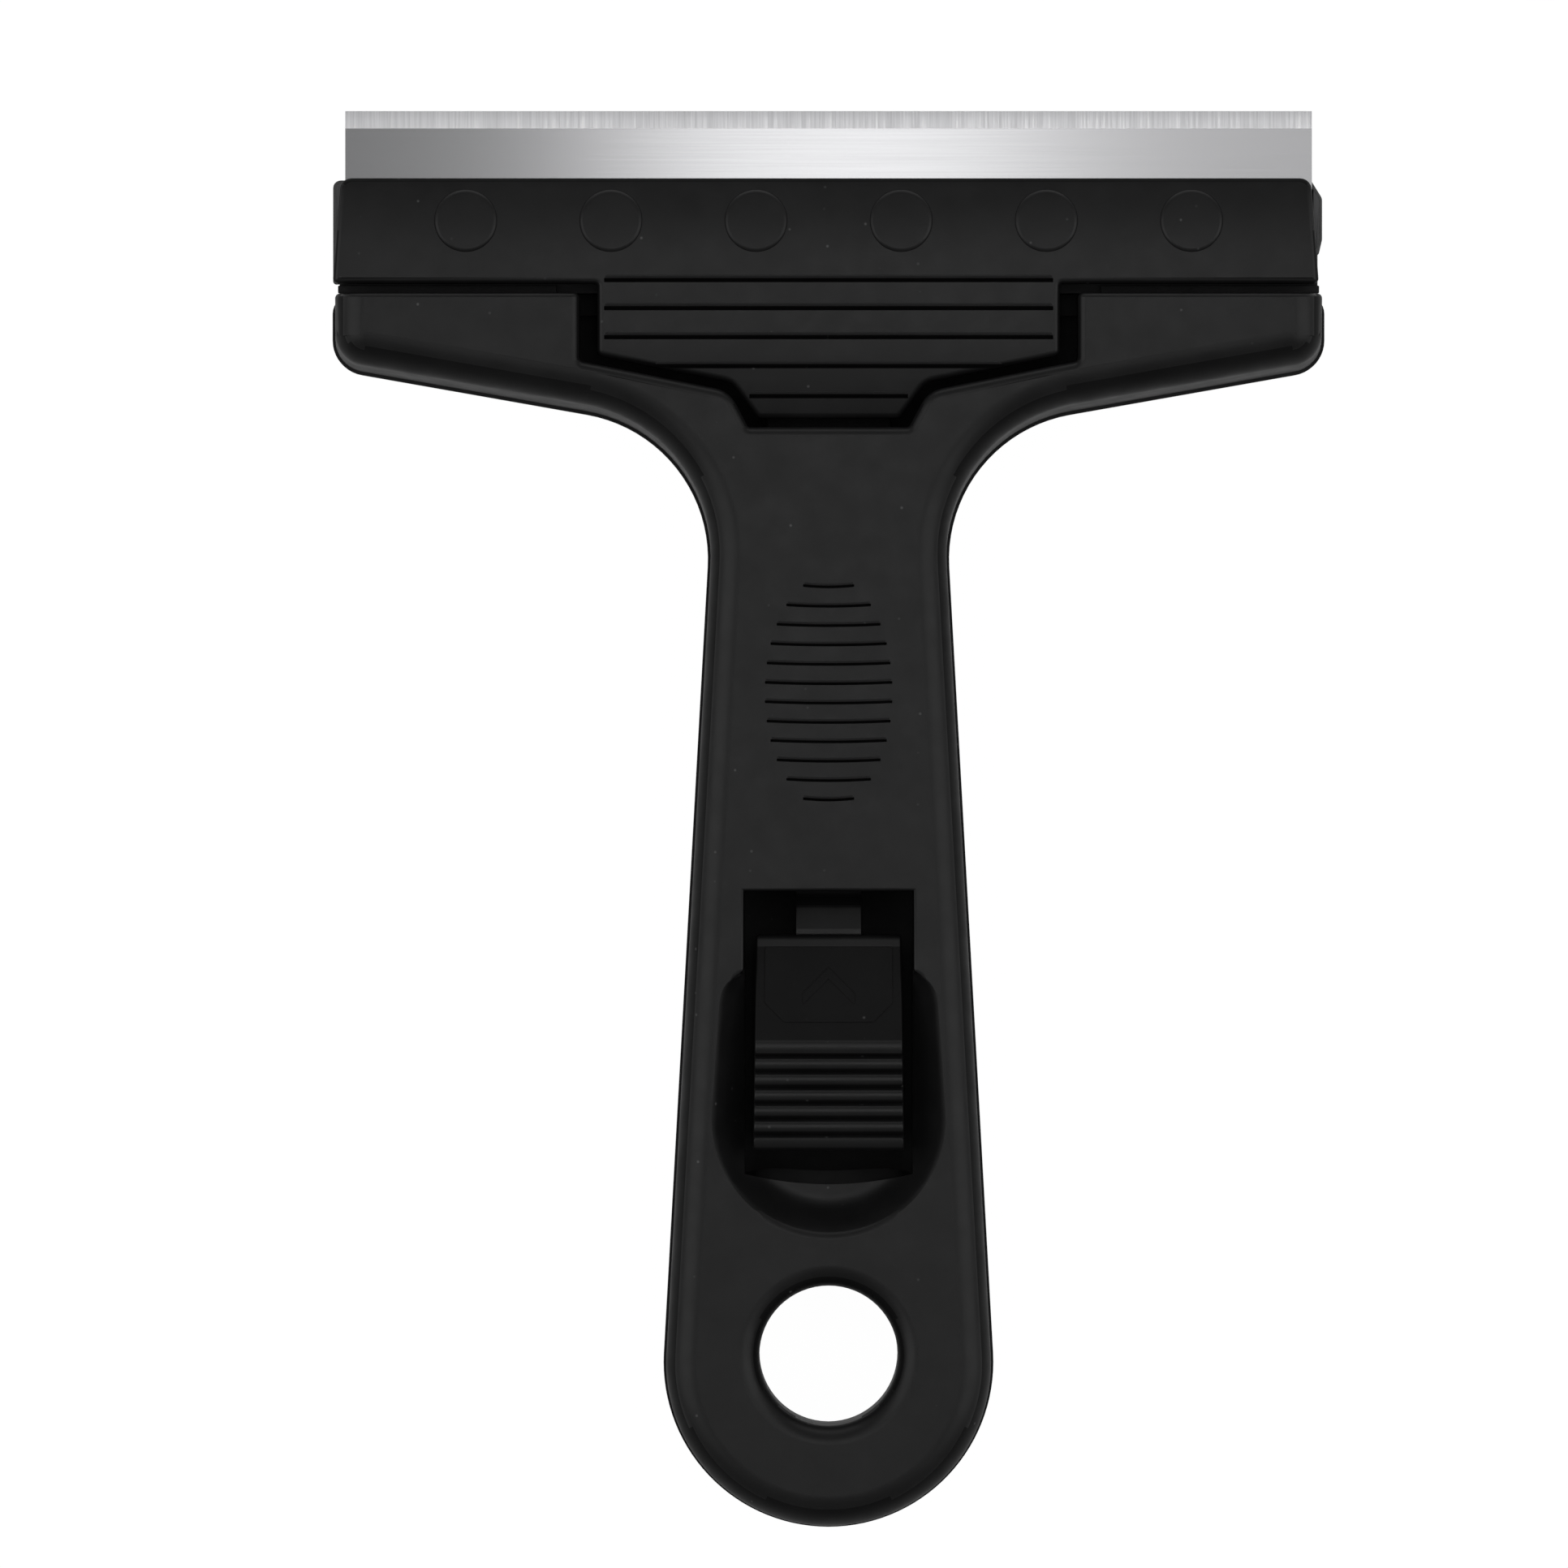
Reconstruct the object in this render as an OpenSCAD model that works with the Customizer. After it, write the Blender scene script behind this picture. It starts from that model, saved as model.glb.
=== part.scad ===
// Glass scraper: a T-shaped moulded hand tool that clamps a wide replaceable blade.
// A two-part shell carries a rocking lever. A coil spring under the thumb button keeps the
// clamp jaw shut on the blade, and pressing the button opens the jaw.
// Frame: +Z is the front with the button, +Y points to the cutting edge, X runs across the head.
// The rear face lies on Z = 0, and X = 0, Y = 0 is the middle of the outline.

/* [Overall] */
// Length from the cutting edge to the end of the grip
overall_length = 146.6; // [135:0.1:180]
// Thickness of the grip from the rear face to the front face
grip_thickness = 15; // [14:0.1:20]

/* [Blade] */
// Length of the cutting edge
blade_width = 100; // [75:0.5:130]
// Height of the blade from its back to its edge
blade_height = 18; // [15:0.1:24]
// Thickness of the blade
blade_thickness = 0.4; // [0.2:0.05:1]
// How far the edge stands out of the jaws
blade_exposed = 7; // [4:0.1:9]
// Height of the ground bevel along the edge
bevel_height = 1.8; // [1:0.1:3]

/* [Grip outline] */
// Radius of the rounded end of the grip
end_radius = 17.1; // [15.5:0.1:22]
// Width of the neck where it is narrowest
neck_width = 25; // [24:0.1:32]
// Distance from the shoulder top to the narrowest neck
neck_drop = 27.4; // [26:0.1:34]
// Radius of the hollow between the neck and the wing
neck_fillet = 15.2; // [12:0.1:18]
// Slope of the underside of the wings, in degrees
wing_slope = 10; // [6:0.5:14]
// Radius of the lower outer corner of the wing
wing_corner = 3.6; // [3.5:0.1:5]
// How far the shoulders reach past each end of the blade
shoulder_margin = 1.4; // [1.2:0.1:4]
// Diameter of the hanging hole
hang_hole_d = 14.3; // [8:0.1:17.2]
// Distance from the end of the grip to the middle of the hanging hole
hang_hole_from_end = 18; // [15:0.1:21]

/* [Shells] */
// Height of the joint between the shells above the rear face
parting_height = 5; // [4:0.1:6]
// Thickness of the front wall
front_wall = 2.2; // [1.6:0.1:2.8]
// Thickness of the rear wall
rear_wall = 2; // [1.5:0.1:2.5]
// Thickness of the side walls
side_wall = 2.4; // [1.8:0.1:3]
// Radius of the rounded front edge
front_round = 3; // [2:0.1:3.2]
// Radius of the rounded rear edge
rear_round = 2; // [1:0.1:3]
// Radius of the rounded front mouth of the hanging hole
front_mouth_round = 2; // [0.5:0.1:2.5]
// Radius of the rounded rear mouth of the hanging hole
rear_mouth_round = 1; // [0.5:0.1:1.5]
// Step of the front shell inside the rear shell at the joint
reveal = 0.3; // [0.1:0.05:0.4]

/* [Clamp jaw] */
// How far the jaw plate reaches past each end of the blade
jaw_margin = 0.8; // [0.5:0.1:1]
// Thickness of the jaw plate
jaw_thickness = 3.8; // [3:0.1:4.5]
// Thickness of the jaw plate at its lip
lip_thickness = 2.4; // [1.5:0.1:3]
// Length of the slope from the plate's face down to the lip
lip_slope_run = 8; // [5:0.1:9]
// How far the jaw plate lies below the front face
jaw_drop = 1.2; // [0.4:0.1:2]
// Gap between the jaw plate and the shoulders
jaw_gap = 1; // [0.8:0.1:1.5]
// Radius of the lip corners of both jaws
lip_corner = 2; // [1:0.1:3]
// Width of the ribbed tongue in the middle of the jaw
tongue_width = 47.8; // [40:0.1:56]
// Width of the tongue at the knee below its sloping edges
tongue_knee_width = 20.2; // [18:0.1:26]
// Width of the tongue at its lower end
tongue_end_width = 14.6; // [14:0.1:16]
// How far the tongue reaches below the shoulder top
tongue_drop = 12.9; // [12:0.1:14]
// How far the straight sides of the tongue reach below the shoulder top
tongue_side_drop = 6.4; // [5:0.1:7]
// Height of the knee above the lower end of the tongue
tongue_knee_rise = 3.7; // [3:0.1:4.5]
// Gap at the sides of the tongue
tongue_side_gap = 1.85; // [1:0.05:2.5]
// Gap along the lower edges of the tongue
tongue_low_gap = 0.95; // [0.8:0.05:1.5]
// How far the tongue face dips towards its lower end
tongue_dip = 1.4; // [0.5:0.1:2]
// Number of ribs on the tongue
tongue_ribs = 5; // [3:1:5]
// Distance between the ribs on the tongue
tongue_rib_pitch = 3; // [2:0.1:3.1]
// Number of low round pads along the jaw plate
jaw_pads = 6; // [4:1:6]
// Distance between the round pads
jaw_pad_pitch = 15; // [10:0.5:15]
// Diameter of a round pad
jaw_pad_d = 6.5; // [4:0.1:7]
// Distance from the lip to the middle of the round pads
jaw_pad_drop = 4.4; // [3.8:0.1:5]

/* [Lever] */
// How far the lower end of the button sinks when it is pressed
press_travel = 4.15; // [2:0.05:4.3]
// Distance from the shoulder top to the pivot
pivot_drop = 26.1; // [25:0.1:27]
// Diameter of the pivot pin
pin_d = 3; // [2:0.1:3.6]
// Width of the lever arm
arm_width = 6.8; // [5:0.1:7]
// Thickness of the lever arm
arm_thickness = 3.2; // [2.6:0.1:3.4]
// How far the middle of the arm lies above the pivot
arm_rise = 0.6; // [0.3:0.1:0.8]
// How far the nose of the arm reaches past the pivot into the jaw
nose_length = 10; // [7:0.1:11]
// How far the arm reaches into the button
arm_plug = 9.8; // [7:0.1:9.9]

/* [Thumb button] */
// Distance from the end of the grip to the lower end of the button
button_from_end = 39.1; // [38:0.1:44]
// Length of the button
button_length = 22.3; // [21:0.1:27]
// Width of the button at its upper end
button_top_width = 15; // [13:0.1:16]
// Width of the button at its lower end
button_low_width = 15.6; // [13:0.1:16.4]
// Thickness of the button's walls
button_wall = 1.6; // [1.2:0.1:1.8]
// Gap between the button and the sides of its window
window_side_gap = 0.9; // [0.5:0.1:1.5]
// Length of the window above the button
window_head = 4.5; // [2:0.1:6]
// Length of the window below the button, at the sides
window_foot = 2.4; // [1:0.1:3]
// How far the lower end of the window bows out in the middle
window_bow = 1.1; // [0.5:0.1:1.5]
// Number of grooves across the button
button_grooves = 6; // [3:1:6]
// Distance between the grooves
groove_pitch = 1.62; // [1.2:0.01:1.65]
// Radius of the thumb scoop around the button
scoop_radius = 11.6; // [11:0.1:12.4]
// Depth of the thumb scoop
scoop_depth = 4; // [2.5:0.1:4.2]
// Distance from the button's lower end up to the middle of the scoop
scoop_rise = 3.3; // [2:0.1:4]
// Distance from the button's upper end down to the middle of the scoop's shoulders
scoop_shoulder_drop = 7.2; // [6:0.1:9]
// Radius of the scoop's shoulders
scoop_shoulder_r = 3; // [2:0.1:3.5]

/* [Thumb rest] */
// Length of the oval patch of ribs on the neck
patch_length = 24; // [16:0.5:30]
// Width of the oval patch
patch_width = 13.2; // [8:0.1:16]
// Distance between the ribs of the patch
patch_pitch = 2; // [1.5:0.1:3]
// Distance from the middle of the patch to the shoulder top
patch_drop = 41.1; // [36:0.1:48]

/* [Spring and screws] */
// Outside diameter of the coil spring
spring_d = 7; // [5:0.1:8.4]
// Diameter of the spring wire
spring_wire = 0.8; // [0.5:0.1:1]
// Number of turns of the spring
spring_turns = 6; // [4:1:6]
// Distance from the button's lower end to the middle of the spring
spring_rise = 6.5; // [6:0.1:6.6]
// Diameter of the screw shank
screw_d = 2.3; // [2:0.1:2.7]
// Diameter of the screw head
screw_head_d = 5; // [4:0.1:5.4]
// Height of the screw head
screw_head_height = 1.6; // [1:0.1:2]
// Distance from the end of the shoulder to the wing screw
wing_screw_inset = 13.4; // [8:0.1:16]
// Distance from the shoulder top to the wing screw
wing_screw_drop = 4.4; // [4.3:0.1:4.8]
// Distance from the pivot to the neck screw
neck_screw_drop = 11.5; // [9:0.1:20]

/* [Hidden] */

$fn = 48;
// Overlap that keeps joined or cut solids from sharing a face
bite = 0.5;
// Clearance between the blade and each jaw
blade_fit = 0.05;
// Running clearance of the pivot, and clearance of the screws in their pilot holes
pin_fit = 0.05;
// Clearance of plugged and seated pieces
seat_fit = 0.1;
// Clearance that moving pieces keep from the walls
run_gap = 0.3;

plastic = [0.13, 0.13, 0.13];
dark_plastic = [0.11, 0.11, 0.11];
steel = [0.75, 0.75, 0.77];
dark_steel = [0.5, 0.5, 0.52];

// Places along Y: from the cutting edge, and from the end of the grip
function from_edge(distance) = overall_length / 2 - distance;
function from_end(distance) = distance - overall_length / 2;

edge_y = from_edge(0);
lip_y = from_edge(blade_exposed);
blade_back_y = from_edge(blade_height);
jaw_low_y = blade_back_y + 2 * blade_fit;
shoulder_y = jaw_low_y - jaw_gap;
tongue_end_y = shoulder_y - tongue_drop;
neck_y = shoulder_y - neck_drop;
pivot_y = shoulder_y - pivot_drop;
patch_y = shoulder_y - patch_drop;
end_y = from_end(end_radius);
hole_y = from_end(hang_hole_from_end);
button_low_y = from_end(button_from_end);
button_top_y = button_low_y + button_length;
window_top_y = button_top_y + window_head;
window_low_y = button_low_y - window_foot;
spring_y = button_low_y + spring_rise;
arm_end_y = button_top_y - arm_plug;

// Levels along Z
cavity_top = grip_thickness - front_wall;
pivot_z = (rear_wall + cavity_top) / 2;
arm_low_z = pivot_z + arm_rise - arm_thickness / 2;
arm_top_z = arm_low_z + arm_thickness;
jaw_top = grip_thickness - jaw_drop;
jaw_under = jaw_top - jaw_thickness;
blade_z = jaw_under - blade_fit - blade_thickness;
seat_z = blade_z - blade_fit;
stop_top = blade_z + blade_thickness;
scoop_floor = grip_thickness - scoop_depth;

// Widths and radii that several pieces share
head_width = blade_width + 2 * shoulder_margin;
jaw_half = blade_width / 2 + jaw_margin;
neck_inner = neck_width / 2 - reveal - side_wall;
window_half = max(button_top_width, button_low_width) / 2 + window_side_gap;
hole_r = hang_hole_d / 2;
pin_r = pin_d / 2;
eye_r = pin_r + 1.2;
knuckle_width = 3;
jaw_root_half = arm_width / 2 + seat_fit + knuckle_width;
spring_peg_r = spring_d / 2 - spring_wire - 2 * seat_fit;
spring_peg_height = 2;

// Screws that join the shells: their places on one side, and the bosses round them
boss_r = screw_d / 2 + 1.65;
screw_seat_z = screw_head_height + 2 * seat_fit;
screw_tip_z = cavity_top - 0.8;
low_screw_reach = hole_r + side_wall + boss_r + 3.4;
screw_places = [[head_width / 2 - wing_screw_inset, shoulder_y - wing_screw_drop],
                [arm_width / 2 + 3 * run_gap + boss_r, pivot_y - neck_screw_drop],
                [low_screw_reach * cos(45), hole_y + low_screw_reach * sin(45)]];

// Arc points from angle a to angle b, counted in even steps
function arc(centre, r, a, b, steps) =
    [for (i = [0:steps]) let (t = a + (b - a) * i / steps) centre + r * [cos(t), sin(t)]];

// Points mirrored across X = 0, in the opposite order
function mirrored(points) = [for (i = [len(points) - 1:-1:0]) [-points[i][0], points[i][1]]];

// Where the line through a and b meets the line through c and d
function meet(a, b, c, d) =
    let (u = b - a, v = d - c, t = cross(c - a, v) / cross(u, v)) a + t * u;

// A counter-clockwise polygon with each side moved outwards by its own gap
function grown(points, gaps) =
    let (n = len(points),
         normals = [for (i = [0:n - 1]) let (d = points[(i + 1) % n] - points[i]) [d[1], -d[0]] / norm(d)])
    [for (i = [0:n - 1])
        let (j = (i + n - 1) % n)
        meet(points[j] + normals[j] * gaps[j], points[i] + normals[j] * gaps[j],
             points[i] + normals[i] * gaps[i], points[(i + 1) % n] + normals[i] * gaps[i])];

// Outline of grip, neck and wings, moved inwards by inset, with the wings running up to top_y
function scraper_outline(inset, top_y) =
    let (hollow = [neck_width / 2 + neck_fillet, neck_y],
         rise = hollow[1] - end_y,
         span = norm([hollow[0], rise]),
         side_angle = atan2(rise, hollow[0]) - acos((end_radius + neck_fillet) / span),
         touch = hollow + neck_fillet * [-sin(wing_slope), cos(wing_slope)],
         corner_x = head_width / 2 - wing_corner,
         corner_y = touch[1] + (corner_x - touch[0]) * tan(wing_slope) + wing_corner / cos(wing_slope),
         right = concat(
             arc([0, end_y], end_radius - inset, -90, side_angle, 14),
             arc(hollow, neck_fillet + inset, 180 + side_angle, 90 + wing_slope, 10),
             arc([corner_x, corner_y], wing_corner - inset, wing_slope - 90, 0, 6),
             [[head_width / 2 - inset, top_y]]))
    concat(right, mirrored(right));

// Outline of the tongue that hangs from the jaw plate
tongue_corner = [tongue_width / 2, shoulder_y - tongue_side_drop];
tongue_knee = [tongue_knee_width / 2, tongue_end_y + tongue_knee_rise];
tongue_end = [tongue_end_width / 2, tongue_end_y];
tongue_right = [tongue_end, tongue_knee, tongue_corner, [tongue_width / 2, jaw_low_y + bite]];
tongue_outline = concat(tongue_right, mirrored(tongue_right));

// The opening round the tongue, or with a wall, the outside of the wall round that opening
function recess_outline(wall) =
    let (low = tongue_low_gap + wall, side = tongue_side_gap + wall)
    grown(tongue_outline, [low, low, side, jaw_gap, side, low, low, low]);

// Draws its children as they are and mirrored across X = 0
module both_sides() {
    children();
    mirror([1, 0, 0]) children();
}

// A round bar along X, centred on X = 0
module bar_x(r, length) {
    rotate([0, 90, 0]) cylinder(r = r, h = length, center = true);
}

// A block given by its lowest and highest corners
module block(low, high) {
    translate(low) cube(high - low);
}

// A side view, drawn as Y across and Z up, carried along X on both sides of X = 0
module along_x(half_width) {
    rotate([90, 0, 90]) linear_extrude(2 * half_width, center = true) children();
}

// Funnel that rounds the mouth of a hole of radius r, from z = 0 up to z = round
module mouth_round(r, round) {
    steps = 3;
    curve = [for (i = [0:steps]) let (t = 90 * i / steps) [r + round * (1 - cos(t)), round * sin(t)]];
    above = round + bite;
    rotate_extrude() polygon(concat([[r - bite, 0]], curve, [[r + round, above], [r - bite, above]]));
}

// What is cut off a square corner at the origin to round it
module corner_round(r) {
    translate([-r, -r]) difference() {
        square(r + bite);
        circle(r);
    }
}

// Plate in the scraper outline with its upper edge rounded
module rounded_plate(inset, height, round, top_y) {
    minkowski() {
        linear_extrude(height - round) polygon(scraper_outline(inset + round, top_y));
        intersection() {
            sphere(round, $fn = 32);
            block([-round, -round, 0], [round, round, round]);
        }
    }
}

// Round columns at the places of the screws
module screw_columns(r, low_z, high_z) {
    both_sides() for (place = screw_places)
        translate([place[0], place[1], low_z]) cylinder(r = r, h = high_z - low_z);
}

// Front shell

module front_body() {
    difference() {
        translate([0, 0, parting_height])
            rounded_plate(reveal, grip_thickness - parting_height, front_round, shoulder_y);
        block([-head_width, shoulder_y, 0], [head_width, overall_length, 2 * grip_thickness]);
    }
}

module front_cavity() {
    translate([0, 0, parting_height - bite])
        linear_extrude(cavity_top - parting_height + bite)
            polygon(scraper_outline(reveal + side_wall, shoulder_y - side_wall));
}

// Wall round the opening for the tongue
module recess_wall() {
    intersection() {
        block([-head_width / 2, tongue_end_y - tongue_low_gap - side_wall, parting_height],
              [head_width / 2, shoulder_y, cavity_top + bite]);
        linear_extrude(grip_thickness) polygon(recess_outline(side_wall));
        linear_extrude(grip_thickness) polygon(scraper_outline(reveal + bite, shoulder_y));
    }
}

// Way through that wall for the root of the jaw
module jaw_root_tunnel() {
    half = jaw_root_half + 2 * run_gap;
    block([-half, pivot_y, parting_height - bite], [half, tongue_end_y, cavity_top]);
}

// Bowl of the thumb scoop: a cutter that is widest at the front face
module scoop_bowl(r, curve_width) {
    steps = 5;
    curve = [for (i = [0:steps]) let (t = 90 * i / steps)
                [r - curve_width * (1 - sin(t)), scoop_depth * (1 - cos(t))]];
    above = scoop_depth + bite;
    rotate_extrude() polygon(concat([[0, 0]], curve, [[r, above], [0, above]]));
}

scoop_y = button_low_y + scoop_rise;
scoop_shoulder = [window_half - window_side_gap, button_top_y - scoop_shoulder_drop];

module scoop_cut() {
    low_curve = 3.6;
    shoulder_curve = 2.4;
    translate([0, 0, scoop_floor]) hull() {
        translate([0, scoop_y, 0]) scoop_bowl(scoop_radius, low_curve);
        both_sides() translate(scoop_shoulder) scoop_bowl(scoop_shoulder_r, shoulder_curve);
    }
}

// Thick floor under the thumb scoop
module scoop_pad() {
    pad_r = scoop_radius + side_wall / 2;
    pad_top_y = scoop_shoulder[1] + scoop_shoulder_r + side_wall;
    low_z = scoop_floor - front_wall;
    high_z = grip_thickness - front_wall / 2;
    intersection() {
        block([-pad_r, scoop_y - pad_r, low_z], [pad_r, pad_top_y, high_z]);
        linear_extrude(grip_thickness) polygon(scraper_outline(reveal + bite, shoulder_y));
    }
}

// Window of the button, with a bowed lower end
module button_well() {
    bow_r = (window_half * window_half + window_bow * window_bow) / (2 * window_bow);
    translate([0, 0, parting_height - bite]) linear_extrude(grip_thickness) {
        translate([-window_half, window_low_y]) square([2 * window_half, window_top_y - window_low_y]);
        intersection() {
            translate([0, window_low_y - window_bow + bow_r]) circle(bow_r);
            translate([-window_half, window_low_y - 2 * window_bow])
                square([2 * window_half, 2 * window_bow + bite]);
        }
    }
}

// Oval patch of low ribs that the thumb rests on
module thumb_ribs() {
    rib_r = 0.4;
    rows = floor(patch_length / patch_pitch);
    for (i = [0:rows - 1]) {
        rise = (i - (rows - 1) / 2) * patch_pitch;
        share = 2 * rise / patch_length;
        translate([0, patch_y + rise, grip_thickness - rib_r / 2])
            bar_x(rib_r, patch_width * sqrt(1 - share * share));
    }
}

// Blocks on the side walls of the neck that carry the ends of the pivot pin
module pin_saddles() {
    saddle_half = pin_r + 1.7;
    both_sides() block([jaw_root_half + run_gap, pivot_y - saddle_half, pivot_z - pin_r / 2],
                       [neck_inner + bite, pivot_y + saddle_half, cavity_top + bite]);
}

module pin_slots() {
    slot_r = pin_r + pin_fit;
    translate([0, pivot_y, pivot_z]) bar_x(slot_r, 2 * neck_inner);
    block([-neck_inner, pivot_y - slot_r, 0], [neck_inner, pivot_y + slot_r, pivot_z]);
}

module front_shell() {
    color(plastic) difference() {
        union() {
            difference() {
                front_body();
                front_cavity();
            }
            recess_wall();
            scoop_pad();
            thumb_ribs();
            pin_saddles();
            screw_columns(boss_r, parting_height, cavity_top + bite);
            translate([0, hole_y, parting_height])
                cylinder(r = hole_r + side_wall, h = cavity_top + bite - parting_height);
        }
        linear_extrude(2 * grip_thickness) polygon(recess_outline(0));
        jaw_root_tunnel();
        button_well();
        scoop_cut();
        pin_slots();
        screw_columns(screw_d / 2 + pin_fit, 0, screw_tip_z + bite);
        translate([0, hole_y, 0]) cylinder(r = hole_r, h = 2 * grip_thickness);
        translate([0, hole_y, grip_thickness - front_mouth_round]) mouth_round(hole_r, front_mouth_round);
    }
}

// Rear shell

module rear_body() {
    mirror([0, 0, 1]) translate([0, 0, -parting_height])
        rounded_plate(0, parting_height, rear_round, shoulder_y - rear_round);
}

module rear_cavity() {
    translate([0, 0, rear_wall])
        linear_extrude(parting_height)
            polygon(scraper_outline(side_wall + reveal, shoulder_y - side_wall - bite));
}

// Fixed jaw: the block under the blade, which stands up past the joint in front of the shoulders
module fixed_jaw() {
    half = blade_width / 2 + jaw_margin / 2;
    low_y = shoulder_y - side_wall;
    difference() {
        linear_extrude(seat_z) difference() {
            translate([-half, low_y]) square([2 * half, lip_y - low_y]);
            both_sides() translate([half, lip_y]) corner_round(lip_corner);
        }
        block([-head_width, low_y - bite, parting_height],
              [head_width, shoulder_y + blade_fit, grip_thickness]);
    }
}

// Low step that the back of the blade rests against, out in the wings
module blade_stop() {
    inner = tongue_width / 2 + tongue_side_gap + side_wall;
    both_sides() block([inner, shoulder_y + blade_fit, seat_z - bite],
                       [blade_width / 2, blade_back_y - blade_fit, stop_top]);
}

// Rounded ear at the right end of the fixed jaw, which stops the blade from sliding out sideways
module blade_ear() {
    ear_r = 1.6;
    ear_length = 7.6;
    outer = head_width / 2 - 2 * seat_fit;
    top_y = lip_y - 2 * seat_fit;
    low_z = seat_z - 2.5;
    intersection() {
        translate([0, 0, low_z]) linear_extrude(stop_top - low_z) difference() {
            translate([outer - 2 * ear_r, top_y - ear_length]) square([2 * ear_r, ear_length]);
            translate([outer, top_y]) corner_round(ear_r);
            translate([outer, top_y - ear_length]) mirror([0, 1]) corner_round(ear_r);
        }
        block([blade_width / 2 + blade_fit, 0, 0], [head_width, overall_length, grip_thickness]);
    }
}

// Slanted cut behind the fixed jaw, from the rear face near the shoulders up to the lip
module rear_relief() {
    fixed_lip = 2.8;
    start_y = shoulder_y - 1.1;
    rise = seat_z - fixed_lip;
    run = lip_y - start_y;
    along_x(head_width)
        polygon([[start_y, 0], [lip_y + run, 2 * rise], [lip_y + run, -bite],
                 [start_y - bite * run / rise, -bite]]);
}

// Posts that hold the pivot pin up in the saddles of the front shell
module pin_posts() {
    both_sides() block([jaw_root_half + run_gap, pivot_y - pin_r, rear_wall / 2],
                       [neck_inner - run_gap, pivot_y + pin_r, pivot_z - pin_r - pin_fit]);
}

module rear_shell() {
    color(dark_plastic) difference() {
        union() {
            difference() {
                union() {
                    rear_body();
                    fixed_jaw();
                }
                rear_cavity();
            }
            blade_stop();
            blade_ear();
            pin_posts();
            screw_columns(boss_r + bite, rear_wall / 2, parting_height);
            translate([0, spring_y, rear_wall / 2])
                cylinder(r = spring_peg_r, h = rear_wall / 2 + spring_peg_height);
            translate([0, hole_y, rear_wall / 2])
                cylinder(r = hole_r + side_wall, h = parting_height - rear_wall / 2);
        }
        rear_relief();
        screw_columns(screw_d / 2 + run_gap, -bite, grip_thickness);
        screw_columns(screw_head_d / 2 + 2 * seat_fit, -bite, screw_seat_z);
        translate([0, hole_y, -bite]) cylinder(r = hole_r, h = grip_thickness);
        translate([0, hole_y, rear_mouth_round]) mirror([0, 0, 1]) mouth_round(hole_r, rear_mouth_round);
    }
}

// Clamp jaw

// Height of the tongue's face at a place along Y
function tongue_face(y) = jaw_top - tongue_dip * (jaw_low_y - y) / (jaw_low_y - tongue_end_y);

// Half the width of the tongue at a place along Y
function tongue_half(y) =
    y > tongue_corner[1] ? tongue_corner[0]
    : y > tongue_knee[1] ? meet(tongue_corner, tongue_knee, [0, y], [1, y])[0]
    : meet(tongue_knee, tongue_end, [0, y], [1, y])[0];

module jaw_plate_outline() {
    difference() {
        translate([-jaw_half, jaw_low_y]) square([2 * jaw_half, lip_y - jaw_low_y]);
        both_sides() translate([jaw_half, lip_y]) corner_round(lip_corner);
    }
}

// What the plate's face loses towards the lip, and the tongue's face towards its lower end
module jaw_face_cut() {
    above = 2 * grip_thickness;
    past_end_y = tongue_end_y - bite;
    slope_y = lip_y - lip_slope_run;
    lip_top = jaw_under + lip_thickness;
    along_x(head_width) {
        polygon([[slope_y, jaw_top], [lip_y, lip_top], [lip_y + bite, lip_top],
                 [lip_y + bite, above], [slope_y, above]]);
        polygon([[jaw_low_y, jaw_top], [jaw_low_y, above], [past_end_y, above],
                 [past_end_y, tongue_face(past_end_y)]]);
    }
}

module tongue_rib_bars() {
    rib_r = 0.45;
    rib_inset = 0.7;
    for (i = [0:tongue_ribs - 1]) {
        y = jaw_low_y + bite - i * tongue_rib_pitch;
        translate([0, y, min(jaw_top, tongue_face(y)) - rib_r / 2])
            bar_x(rib_r, 2 * (tongue_half(y) - rib_inset));
    }
}

// Low round pads in a row along the jaw plate, standing square to its sloping face
module jaw_pad_row() {
    pad_rise = 0.12;
    slope = atan2(jaw_thickness - lip_thickness, lip_slope_run);
    face_z = jaw_top - (lip_slope_run - jaw_pad_drop) * tan(slope);
    for (i = [0:jaw_pads - 1])
        translate([(i - (jaw_pads - 1) / 2) * jaw_pad_pitch, lip_y - jaw_pad_drop, face_z])
            rotate([-slope, 0, 0]) translate([0, 0, -bite]) cylinder(d = jaw_pad_d, h = bite + pad_rise);
}

// Root of the jaw under the neck: a block with a riser up to the tongue and two knuckles for the pin
module jaw_root() {
    root_top = pivot_z + eye_r + 0.9;
    root_low = pivot_z - eye_r;
    root_y = pivot_y + eye_r + 2 * run_gap;
    riser_length = 4;
    block([-jaw_root_half, root_y, root_low], [jaw_root_half, tongue_end_y + riser_length, root_top]);
    block([-jaw_root_half, tongue_end_y, root_low],
          [jaw_root_half, tongue_end_y + riser_length, jaw_under + bite]);
    both_sides() {
        block([jaw_root_half - knuckle_width, pivot_y, root_low],
              [jaw_root_half, root_y + bite, pivot_z + eye_r]);
        translate([jaw_root_half - knuckle_width / 2, pivot_y, pivot_z]) bar_x(eye_r, knuckle_width);
    }
}

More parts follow.
